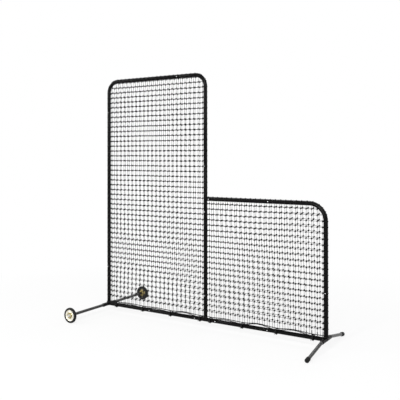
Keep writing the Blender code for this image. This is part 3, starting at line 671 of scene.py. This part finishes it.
# Profiles as (radius, height) in metres
TYRE_OUTER = [
    (0.0473, 0.01), (0.0478, 0.0108), (0.05, 0.0122), (0.0515, 0.0122), (0.052, 0.013), (0.0535, 0.0135),
    (0.056, 0.0133), (0.058, 0.013), (0.06, 0.0119), (0.0618, 0.0104), (0.0632, 0.0086), (0.064, 0.007),
    (0.0643, 0.0062), (0.0633, 0.0057), (0.0633, 0.0049), (0.0647, 0.0043), (0.065, 0.0024),
    (0.065, 0.0016), (0.064, 0.001),
]
HUB_OUTER = [
    (0.0086, 0.0145), (0.0122, 0.0145), (0.013, 0.0139), (0.013, 0.008), (0.014, 0.007), (0.026, 0.007),
    (0.0285, 0.0066), (0.031, 0.0054), (0.0345, 0.0033), (0.0375, 0.0021), (0.0395, 0.0024),
    (0.0412, 0.004), (0.0423, 0.0068), (0.043, 0.0092), (0.0438, 0.0101), (0.045, 0.0105), (0.0462, 0.0103),
    (0.047, 0.0096),
]
COVER = [
    (0.0133, 0.0085), (0.0136, 0.0094), (0.015, 0.0103), (0.018, 0.0111), (0.0205, 0.0112),
    (0.0235, 0.0105), (0.0258, 0.009), (0.0268, 0.008), (0.027, 0.0074), (0.0133, 0.0074),
]
AXLE_BORE_R = 0.0053
LEG_PLUG = [
    (AXLE_BORE_R, 0.0033), (0.012, 0.0033), (LEG_R, 0.0028), (LEG_R, GAP), (0.0107, GAP), (0.0107, -0.029),
    (0.0097, -0.03), (AXLE_BORE_R, -0.03),
]
CAP = [
    (0, 0.005), (0.012, 0.005), (0.0138, 0.0045), (0.0155, 0.003), (0.0165, 0.001), (0.0165, -0.006),
    (0.0159, -0.0066), (0.0159, -0.0074), (0.0165, -0.008), (0.0165, -0.013), (0.0159, -0.0136),
    (0.0159, -0.0144), (0.0165, -0.015), (0.0165, -0.03), (0.016, -0.0325), (0.0145, -0.0338),
    (0.0135, -0.034), (0.0128, -0.0334), (0.0128, 0.0003), (0, 0.0003),
]


def ring(inner, outer, low, high, edge=0.0003):
    """The profile of a flat ring with eased outer edges."""
    return [(inner, high), (outer - edge, high), (outer, high - edge),
            (outer, low + edge), (outer - edge, low), (inner, low)]


def make_wheels():
    """Both wheels with their axles."""
    for name, way in LEG_ENDS:
        out = Y_AXIS * way
        end = Vector((LEFT_X, way * WHEEL_REACH, RAIL_Z))
        middle = end + out * WHEEL_OUT
        wheel = "wheel_" + name
        for part, profile, sides, origin, along, slot in (
            ("tyre", mirrored(TYRE_OUTER), 96, middle, out, "tyre"),
            ("hub", mirrored(HUB_OUTER), 64, middle, out, "hub"),
            ("cover_outer", COVER, 64, middle, out, "yellow_zinc"),
            ("cover_inner", COVER, 64, middle, -out, "yellow_zinc"),
            ("bush", ring(AXLE_BORE_R, 0.0083, -0.0155, 0.0155), 32, middle, out, "nylon"),
            ("leg_plug", LEG_PLUG, 40, end, out, "nylon"),
            ("washer_inner", ring(AXLE_BORE_R, 0.01, 0.0036, 0.0052), 40, end, out, "bright_zinc"),
            ("washer_outer", ring(AXLE_BORE_R, 0.01, 0.0368, 0.0384), 40, end, out, "bright_zinc"),
        ):
            node = wheel + "_" + part
            body = wheel if origin is middle else "frame"
            put(node + "_turned", turned_mesh(profile, sides, origin, along), slot, body, [node])
        node = wheel + "_axle_bolt"
        put(node + "_turned", axle_bolt(end, out), "bright_zinc", "frame", [node])


def axle_bolt(end, direction, flats=0.017, radius=0.005):
    """A bolt with a chamfered hex head and a washer face."""
    corner = flats / math.sqrt(3)
    head = [(0, 0.0387), (corner * 0.86, 0.0387), (corner, 0.0394), (corner, 0.044),
            (corner * 0.87, 0.0451), (0, 0.0451)]
    shank = [(0, 0.0448), (radius, 0.0448), (radius, -0.024), (0.0042, -0.025), (0, -0.025)]
    return joined([turned_mesh(head, 6, end, direction), turned_mesh(shank, 24, end, direction)])


def make_caps():
    """Ribbed rubber caps on the right leg's ends, worn flat where they stand."""
    for name, way in LEG_ENDS:
        elbow, tip = foot_corners("right_leg_" + name, way)[1:]
        body = turned_mesh(CAP, 40, tip, (tip - elbow).normalized())
        ground = bpy.data.meshes.new("ground")
        box = [(tip.x + a, tip.y + b, c)
               for a in (-0.03, 0.03) for b in (-0.06, 0.06) for c in (-0.03, 0.0)]
        faces = [(0, 1, 3, 2), (4, 6, 7, 5), (0, 4, 5, 1), (2, 3, 7, 6), (0, 2, 6, 4), (1, 5, 7, 3)]
        ground.from_pydata(box, [], faces)
        mesh = cut(body, [ground])
        smooth_by_angle(mesh, 40)
        put("foot_cap_%s_moulded" % name, mesh, "cap_rubber", "frame", ["foot_cap_" + name])


# Snap buttons

BUTTON_PROUD = 0.004
BUTTON_DOME = ((0, 0), (0.0012, 0.00008), (0.0023, 0.0004), (0.0032, 0.001), (0.0038, 0.0018),
               (0.004, 0.0028))
LEAF_LENGTH = 0.014
LEAF_HALF = 0.004
LEAF_THICK = 0.0008


def make_buttons():
    """The snap button and its spring leaf at each joint."""
    for name, (centre, inward, side) in JOINTS.items():
        leg = "leg" in name
        top = (SLEEVE_R if leg else TUBE_R) + BUTTON_PROUD
        reach = (LEG_BORE_R if leg else SPIGOT_BORE_R) * math.cos(math.pi / 12) - GAP
        arm_top = math.sqrt(reach ** 2 - LEAF_HALF ** 2)
        arm_low = arm_top - LEAF_THICK
        root = arm_low + 0.0003
        dome = [(r, top - drop) for r, drop in BUTTON_DOME]
        stem = turned_mesh(dome + [(BUTTON_R, root), (0, root)], 24, centre, side)
        across = side.cross(inward)
        shape = Shape()
        outline = []
        for middle, first in ((LEAF_LENGTH, -math.pi / 2), (-LEAF_HALF, math.pi / 2)):
            for k in range(13):
                a = first + math.pi * k / 12
                outline.append((middle + LEAF_HALF * math.cos(a), LEAF_HALF * math.sin(a)))
        low, high = [shape.ring([centre + inward * u + across * v + side * height for u, v in outline])
                     for height in (arm_low, arm_top)]
        shape.band(low, high, len(outline))
        shape.lid(low, len(outline), up=False)
        shape.lid(high, len(outline))
        mesh = joined([stem, closed_up(shape.mesh("leaf"))])
        put("button_%s_snap" % name, mesh, "bright_zinc", "button_" + name, ["button_" + name])


# Net

MESH = 0.04445
TWINE_R = 0.0014
TWINE_SIDES = 5
NET_OFFSET = TUBE_R + GAP + TWINE_R
FIRST_COLUMN = 0.0155
EDGE_CLEARANCE = 0.008
SHORT_FIRST_COLUMN = 0.029
COLUMNS = 24
# How far in from the tubes the net hangs loose, and how far its knots then stray
SLACK_DEPTH = 0.12
WOBBLE_X = 0.0016
WOBBLE_Y = 0.0012
WOBBLE_Z = 0.0014
SAG = 0.0009
KNOT_HALF = (0.0067, 0.0054, 0.0077)
KNOT_SIDES = 8
KNOT_RINGS = ((-1.0, 0.42), (-0.58, 0.92), (0.0, 1.06), (0.58, 0.92), (1.0, 0.42))
KNOT_TWIST = 0.3
KNOT_LEAN = 0.3
KNOT_LUMP = 0.11
KNOT_TURN = 0.02
KNOT_STEP = 0.7
EDGE_KNOT = 0.6
ROPE_R = 0.0035
ROPE_LIFT = 0.02
# Highest bow of the rope between ties, each span's share of it, and how the back run differs
ROPE_BOW = 0.026
ROPE_BOW_SHARES = (0.3, 0.3, 0.55, 0.8, 0.35, 0.7, 0.6)
BACK_BOW_SHARE = 0.6
BACK_BOW_LEAN = 0.07
WHIPPING_R = 0.0013
WHIPPING_HEIGHTS = (0.022, 0.014, 0.026, 0.036, 0.03, 0.036)
ROPE_OFFSET = TUBE_R + GAP + ROPE_R
TIE_SPACING = 0.29
TIE_R = 0.002
TURN_SPACING = 0.0041
SQUARENESS = 0.6
WRAP = [math.pi * (k + 0.5) / 6 for k in range(6)]


def clamped(value):
    """A value held between 0 and 1."""
    return min(max(value, 0), 1)


class Bay:
    """One bay of the net: where its tubes run and where its knots sit.

    drift_places pairs heights with how far the back layer hangs to one side of the front there."""

    def __init__(self, left, right, head, bend, left_bends, first_x, drift_places, stretch, lift=0.0):
        self.left = left
        self.right = right
        self.head = head
        self.bend = bend
        self.left_bends = left_bends
        pitch = (right - FIRST_COLUMN - first_x) / (COLUMNS - 1)
        self.columns = [first_x + pitch * k for k in range(COLUMNS)]
        self.drift_places = drift_places
        self.stretch = stretch
        self.lift = lift

    def side_edge(self, z, side):
        """The tube's centre and outward direction where a row at height z meets it."""
        x = self.left if side < 0 else self.right
        rise = z - (self.head - self.bend)
        if rise <= 0 or (side < 0 and not self.left_bends):
            return Vector((x, 0, z)), Vector((side, 0, 0))
        inset = math.sqrt(max(self.bend ** 2 - rise ** 2, 0))
        centre = x - side * self.bend
        out = Vector((side * inset / self.bend, 0, rise / self.bend))
        return Vector((centre + side * inset, 0, z)), out

    def top_edge(self, x):
        """The tube's centre and outward direction where a column at x meets it."""
        for side, edge in ((-1, self.left), (1, self.right)):
            reach = side * (x - edge) + self.bend
            if reach > 0 and (side > 0 or self.left_bends):
                rise = math.sqrt(max(self.bend ** 2 - reach ** 2, 0))
                return (Vector((x, 0, self.head - self.bend + rise)),
                        Vector((side * reach / self.bend, 0, rise / self.bend)))
        return Vector((x, 0, self.head)), Z_AXIS

    def drift(self, x, z):
        """How far the back layer hangs to one side of the front at a place."""
        shift = self.drift_places[0][1] + self.stretch * (x - self.left)
        for (high, over), (low, under) in zip(self.drift_places, self.drift_places[1:]):
            share = clamped((high - z) / (high - low))
            shift += (under - over) * share * share * (3 - 2 * share)
        return shift + 0.002 * math.sin(3.3 * x + 2.1 * z) + 0.0014 * math.sin(7.1 * x - 4.7 * z)

    def raised(self, x, z):
        """The share of the back layer's lift at a place.

        It grows from 43 to 77 % of the way to the right, and from 0.45 to 0.75 m up."""
        along = (x - self.left) / (self.right - self.left)
        return clamped(along * 3 - 1.3) * clamped((z - 0.45) / 0.3)

    def knot(self, x, z, layer):
        """A knot of the front (-1) or back (1) layer, a little out of true away from the tubes."""
        slack = clamped(min(x - self.left, self.right - x, self.head - z, z - RAIL_Z) / SLACK_DEPTH)
        wave_x = math.sin(17.0 * z + 5.0 * x + layer) + 0.6 * math.sin(41.0 * x - 13.0 * z + 2 * layer)
        wave_y = math.sin(3.1 * x + 2.3 * z + layer) + 0.5 * math.sin(7.0 * z - 5.0 * x)
        wave_z = math.sin(9.0 * x + 3.0 * z + 2 * layer) + 0.5 * math.sin(57.0 * z + 23.0 * x)
        shift = slack * self.drift(x, z) if layer > 0 else 0.0
        lift = slack * self.lift * self.raised(x, z) if layer > 0 else 0.0
        return Vector((
            x + slack * WOBBLE_X * wave_x + shift,
            layer * (NET_OFFSET + slack * WOBBLE_Y * (1 + wave_y)),
            z + slack * (WOBBLE_Z * wave_z + 0.0009 * layer * math.sin(2.3 * x + 3.7 * z)) + lift,
        ))


def wrap_points(centre, out, layer):
    """A half turn round a tube from the front or back layer to the other."""
    return [centre + out * (NET_OFFSET * math.sin(a)) + Y_AXIS * (layer * NET_OFFSET * math.cos(a))
            for a in WRAP]


def sagged(points):
    """Add a slightly hung middle point between neighbours."""
    result = [points[0]]
    for a, b in zip(points, points[1:]):
        if (b - a).length > MESH / 2:
            result.append((a + b) / 2 - Z_AXIS * SAG * abs((b - a).normalized().x))
        result.append(b)
    return result


def add_knot(shape, centre, turn, size=1.0):
    """A small hard knot: a fat twisted bead whose UV gives it a few turns of cord."""
    starts = []
    half = Vector(KNOT_HALF) * size
    for j, (height, width) in enumerate(KNOT_RINGS):
        points = []
        for k in range(KNOT_SIDES):
            angle = math.tau * k / KNOT_SIDES + turn + j * KNOT_TWIST
            lump = width * (1 + KNOT_LUMP * math.cos(2 * angle + 1.6 * j))
            points.append(centre + Vector((half.x * (lump * math.cos(angle) + KNOT_LEAN * height),
                                           half.y * lump * math.sin(angle), half.z * height)))
        starts.append(shape.ring(points))
    along = [KNOT_TURN * (height + 1) / 2 for height, width in KNOT_RINGS]
    for k in range(len(starts) - 1):
        shape.band(starts[k], starts[k + 1], KNOT_SIDES, along[k], along[k + 1])
    shape.lid(starts[0], KNOT_SIDES, up=False)
    shape.lid(starts[-1], KNOT_SIDES)


def tie_places():
    """Where ties hold the border rope to the bottom rail."""
    places = []
    for low, high in ((LEFT_X + BASE_TEE_REACH, MID_X - BASE_TEE_REACH / 2),
                      (MID_X + BASE_TEE_REACH / 2, RIGHT_X - BASE_TEE_REACH)):
        count = round((high - low) / TIE_SPACING)
        places += [low + (high - low) * k / count for k in range(count + 1)]
    return places


def rope_height(x, layer):
    """Height of the border rope's centre line: its back run bows less than the front one."""
    ties = tie_places()
    for k, (before, after) in enumerate(zip(ties, ties[1:])):
        if before <= x <= after:
            reach = (x - before) / (after - before)
            bow = ROPE_BOW * ROPE_BOW_SHARES[k] * min((after - before) / TIE_SPACING, 1)
            if layer > 0:
                bow *= BACK_BOW_SHARE
                reach += BACK_BOW_LEAN * math.sin(math.pi * reach)
            return RAIL_Z + ROPE_LIFT + bow * math.sin(math.pi * reach) ** 2
    return RAIL_Z + ROPE_LIFT


def foot(x, layer):
    """Where a column's strand meets the border rope."""
    return Vector((x, layer * ROPE_OFFSET, rope_height(x, layer) + ROPE_R * 0.6))


def add_hitch(shape, x, layer):
    """The turn of twine that takes a column's foot round the rope."""
    centre = Vector((x, layer * ROPE_OFFSET, rope_height(x, layer)))
    reach = ROPE_R + TWINE_R * 0.75
    path = [centre + Vector((0.0012 * math.sin(a), reach * math.cos(a), reach * math.sin(a)))
            for a in circle(10)]
    add_rod(shape, path, TWINE_R, TWINE_SIDES, closed=True, normal=X_AXIS)


def add_whipping(shape, low, high, height):
    """Tight turns of twine round the foot of a column."""
    way = (high - low).normalized()
    side = way.cross(Y_AXIS).normalized()
    over = side.cross(way)
    pitch = WHIPPING_R * 2.2
    steps = 8 * round(height / pitch)
    path = []
    for k in range(steps + 1):
        a = math.tau * k / 8
        out = (TWINE_R + WHIPPING_R) * (math.cos(a) * side + math.sin(a) * over)
        path.append(low + way * height * k / steps + out)
    add_rod(shape, path, WHIPPING_R, 4)


def row_heights():
    """Heights of the net's rows, from just under the top rail down to above the rope."""
    top = TOP_Z - FIRST_COLUMN
    low = RAIL_Z + ROPE_LIFT + ROPE_BOW + 0.01
    count = int((top - low) / MESH) + 1
    return [top - MESH * k for k in range(count)]


def add_row(shape, back_knots, bay, tall, z):
    """One row of both layers, joined round the posts, with its knots."""
    whole = tall and z > SHORT_Z
    left, left_out = bay.side_edge(z, -1)
    right, right_out = bay.side_edge(z, 1)
    xs = [x for x in bay.columns if left.x + EDGE_CLEARANCE < x < right.x - EDGE_CLEARANCE]
    front = [bay.knot(x, z, -1) for x in xs]
    back = [bay.knot(x, z, 1) for x in reversed(xs)]
    right_wrap = wrap_points(right, right_out, -1)
    left_wrap = wrap_points(left, left_out, 1)
    ahead = Vector((MID_X, -NET_OFFSET, z))
    behind = Vector((MID_X, NET_OFFSET, z))
    if whole:
        path = sagged(front) + right_wrap + sagged(back) + left_wrap
    elif tall:
        path = sagged([behind] + back) + left_wrap + sagged(front + [ahead])
    else:
        path = sagged([ahead] + front) + right_wrap + sagged(back + [behind])
    add_rod(shape, path, TWINE_R, TWINE_SIDES, closed=whole)
    for k, p in enumerate(front):
        add_knot(shape, p, KNOT_STEP * k)
    for k, p in enumerate(back, len(front)):
        add_knot(back_knots, p, KNOT_STEP * k)
    if tall:
        add_knot(shape, left + left_out * NET_OFFSET, 0.4, EDGE_KNOT)
    if whole or not tall:
        add_knot(shape, right + right_out * NET_OFFSET, 0.9, EDGE_KNOT)


def add_column(shape, bay, heights, x, whipping):
    """One column from the rope up the front, over the top tube and down the back."""
    top, top_out = bay.top_edge(x)
    zs = [z for z in reversed(heights) if z < top.z - EDGE_CLEARANCE]
    front = [bay.knot(x, z, -1) for z in zs]
    back = [bay.knot(x, z, 1) for z in reversed(zs)]
    low_x = back[-1].x
    if whipping:
        add_whipping(shape, foot(x, -1), front[0], whipping)
    path = sagged([foot(x, -1)] + front) + wrap_points(top, top_out, -1) + sagged(back + [foot(low_x, 1)])
    add_rod(shape, path, TWINE_R, TWINE_SIDES)
    add_hitch(shape, x, -1)
    add_hitch(shape, low_x, 1)
    add_knot(shape, top + top_out * NET_OFFSET, x, EDGE_KNOT)


def make_bay(name, bay, tall, node):
    """One bay's strands with the front layer's knots, and the back layer's knots as a second piece."""
    shape = Shape()
    back_knots = Shape()
    heights = [z for z in row_heights() if z < bay.head - FIRST_COLUMN / 2]
    for z in heights:
        add_row(shape, back_knots, bay, tall, z)
    whippings = {} if tall else dict(zip(reversed(bay.columns), reversed(WHIPPING_HEIGHTS)))
    for x in bay.columns:
        add_column(shape, bay, heights, x, whippings.get(x))
    add_rod(shape, edge_path(bay, tall), TWINE_R, TWINE_SIDES)
    return [put(title, closed_up(part.mesh(title)), "net_twine", "frame", [node])
            for title, part in ((name, shape), (name + "_back_knots", back_knots))]


def edge_path(bay, tall):
    """The strand along the outer face of a bay's tubes."""
    left = LEFT_X - NET_OFFSET
    middle = MID_X + NET_OFFSET
    right = RIGHT_X + NET_OFFSET
    top = TOP_Z + NET_OFFSET
    step = SHORT_Z + NET_OFFSET
    low = RAIL_Z + ROPE_LIFT
    places = ((left, low), (left, top), (middle, top), (middle, step)) if tall else (
        (middle, step), (right, step), (right, low))
    return arc_path([Vector((x, 0, z)) for x, z in places], bay.bend + NET_OFFSET, 12)


def make_net():
    """Both bays."""
    tall = Bay(LEFT_X, MID_X, TOP_Z, TALL_BEND, True, LEFT_X + FIRST_COLUMN,
               ((1.9, -0.018), (1.5, -0.02), (1.0, -0.021), (0.75, -0.021), (0.6, -0.009), (0.5, -0.01),
                (0.3, -0.024)), 0.0085)
    short = Bay(MID_X, RIGHT_X, SHORT_Z, SHORT_BEND, False, MID_X + SHORT_FIRST_COLUMN,
                ((0.95, -0.011), (0.85, -0.009), (0.7, -0.004), (0.5, 0.002)), 0.014, 0.01)
    return (make_bay("net_tall", tall, True, "net_tall_bay"),
            make_bay("net_short", short, False, "net_short_bay"))


# Border rope and ties

STRAND_R = 0.0018
STRAND_OUT = 0.00168
LAY_LENGTH = 0.028
ROPE_STEP = 0.0028


def rope_line():
    """The rope's closed centre line, close-spaced."""
    count = 360
    xs = [LEFT_X + (RIGHT_X - LEFT_X) * k / count for k in range(count + 1)]
    low = RAIL_Z + ROPE_LIFT
    turns = [math.pi * (k + 0.5) / 12 for k in range(12)]
    line = []
    for layer, run, end in ((-1, xs, RIGHT_X), (1, xs[::-1], LEFT_X)):
        line += [Vector((x, layer * ROPE_OFFSET, rope_height(x, layer))) for x in run]
        line += [Vector((end - layer * ROPE_OFFSET * math.sin(a), layer * ROPE_OFFSET * math.cos(a), low))
                 for a in turns]
    return line


def evenly(points, step):
    """Points at nearly equal steps round a closed path, and the path's length."""
    loop = points + [points[0]]
    spans = [(b - a).length for a, b in zip(loop, loop[1:])]
    total = sum(spans)
    count = round(total / step)
    result = []
    index = 0
    passed = 0.0
    for k in range(count):
        want = total * k / count
        while passed + spans[index] < want:
            passed += spans[index]
            index += 1
        result.append(loop[index].lerp(loop[index + 1], (want - passed) / spans[index]))
    return result, total


def make_rope():
    """Three-strand border rope, and the lashings that hold it to the bottom rail."""
    shape = Shape()
    points, total = evenly(rope_line(), ROPE_STEP)
    ways = directions(points, True)
    lays = round(total / LAY_LENGTH)
    for strand in range(3):
        path = []
        for k, (p, way) in enumerate(zip(points, ways)):
            side = way.cross(Z_AXIS).normalized()
            over = side.cross(way)
            a = math.tau * (lays * k / len(points) + strand / 3)
            path.append(p + STRAND_OUT * (math.cos(a) * side + math.sin(a) * over))
        add_rod(shape, path, STRAND_R, 6, closed=True)
    for x in tie_places():
        add_lashing(shape, x)
    return put("border_rope", closed_up(shape.mesh("rope")), "border_cord", "frame", ["net_border_rope"])


def lashing_turn(x, slant):
    """One turn round the rail and both runs of the rope."""
    wide_most = TUBE_R + GAP + ROPE_R * 2
    path = []
    for a in circle(32):
        across = math.cos(a)
        rise = math.sin(a)
        reach = ROPE_LIFT + ROPE_R if rise > 0 else TUBE_R + GAP + TIE_R
        wide = wide_most * math.copysign(abs(across) ** SQUARENESS, across)
        tall = reach * math.copysign(abs(rise) ** SQUARENESS, rise)
        path.append(Vector((x + slant * across, wide, RAIL_Z + tall)))
    return path


def add_lashing(shape, x):
    """Three turns, a knot on the front and two short ends."""
    for k in (-1, 0, 1):
        add_rod(shape, lashing_turn(x + k * TURN_SPACING, 0.001 * k), TIE_R, 7, closed=True, normal=X_AXIS)
    centre = Vector((x, -(TUBE_R + GAP + ROPE_R * 2 + TIE_R), RAIL_Z + 0.004))
    for lean in (-1, 1):
        loop = [centre + Vector((lean * 0.0022 + 0.0052 * math.cos(a), -0.001 + 0.0016 * math.sin(2 * a),
                                 0.0036 * math.sin(a))) for a in circle(14)]
        add_rod(shape, loop, TIE_R * 0.9, 6, closed=True, normal=Y_AXIS)
        end = [centre + Vector((lean * u, v, w)) for u, v, w in (
            (0.004, 0, -0.001), (0.008, -0.001, -0.008), (0.010, 0.0005, -0.016), (0.009, 0.002, -0.023))]
        add_rod(shape, end, TIE_R * 0.9, 6)


# Stage

FLOOR_REACH = 30
FLOOR_DROP = 0.0005
# The floor is this white at its middle, and wholly white beyond the second distance
WHITE_LEAST = 0.84
WHITE_FROM = 1.2
WHITE_TO = 3.2


def show_white(n, kind, output, share):
    """Show plain white, by a share, to the camera and in what metal reflects and glass lets through."""
    rays = n.tree.nodes.new("ShaderNodeLightPath").outputs
    other = n.math("MAXIMUM", rays["Is Glossy Ray"], rays["Is Transmission Ray"])
    seen = n.math("MULTIPLY", share, n.math("MAXIMUM", rays["Is Camera Ray"], other))
    white = n.add(kind, {"Color": grey(1.0), "Strength": 1.0})
    mix = n.add("ShaderNodeMixShader", {0: seen, 1: n.shader.outputs[0], 2: white})
    n.put(n.tree.nodes[output].inputs["Surface"], mix)


def make_floor():
    """Pale floor that turns to plain white away from the object."""
    mesh = bpy.data.meshes.new("floor")
    corners = [(x * FLOOR_REACH, y * FLOOR_REACH, 0) for x, y in ((-1, -1), (1, -1), (1, 1), (-1, 1))]
    mesh.from_pydata(corners, [], [(0, 1, 2, 3)])
    floor = placed("floor", mesh)
    floor.location.z = -FLOOR_DROP
    n = material_nodes("floor")
    n.set("Base Color", grey(0.9))
    n.set("Roughness", 0.9)
    away = n.add("ShaderNodeVectorMath", {0: n.place()}, "Value", operation="LENGTH")
    show_white(n, "ShaderNodeEmission", "Material Output",
               n.spread(away, WHITE_FROM, WHITE_TO, WHITE_LEAST, 1.0))
    mesh.materials.append(MATERIALS["floor"])


def make_surround():
    """Dim grey light from all round, seen as plain white."""
    world = bpy.data.worlds.new("surround")
    bpy.context.scene.world = world
    n = Nodes(world)
    n.set("Color", grey(0.9))
    n.set("Strength", 0.3)
    show_white(n, "ShaderNodeBackground", "World Output", 1.0)


def make_lamps():
    """Soft lamps that face the object's middle: place, width, height and power."""
    for name, place, width, height, power in (
        ("key", (3.0, -4.0, 5.0), 2.6, 2.6, 210),
        ("fill", (-4.5, -3.0, 3.0), 3.0, 3.0, 95),
        ("back", (0.5, 4.5, 4.5), 3.5, 3.5, 120),
        ("strip", (0.5, -4.6, 2.2), 0.6, 2.4, 110),
    ):
        data = bpy.data.lights.new(name, "AREA")
        data.shape = "ELLIPSE"
        data.size = width
        data.size_y = height
        data.energy = power
        lamp = placed(name, data)
        lamp.location = place
        lamp.rotation_euler = (Vector((0, 0, 0.9)) - Vector(place)).to_track_quat("-Z", "Y").to_euler()


bpy.context.scene.view_settings.view_transform = "Standard"
make_camera()
make_floor()
make_surround()
make_lamps()
make_tubes()
make_weldments()
make_wheels()
make_caps()
make_buttons()
(tall_net, tall_knots), (short_net, short_knots) = make_net()
rope = make_rope()
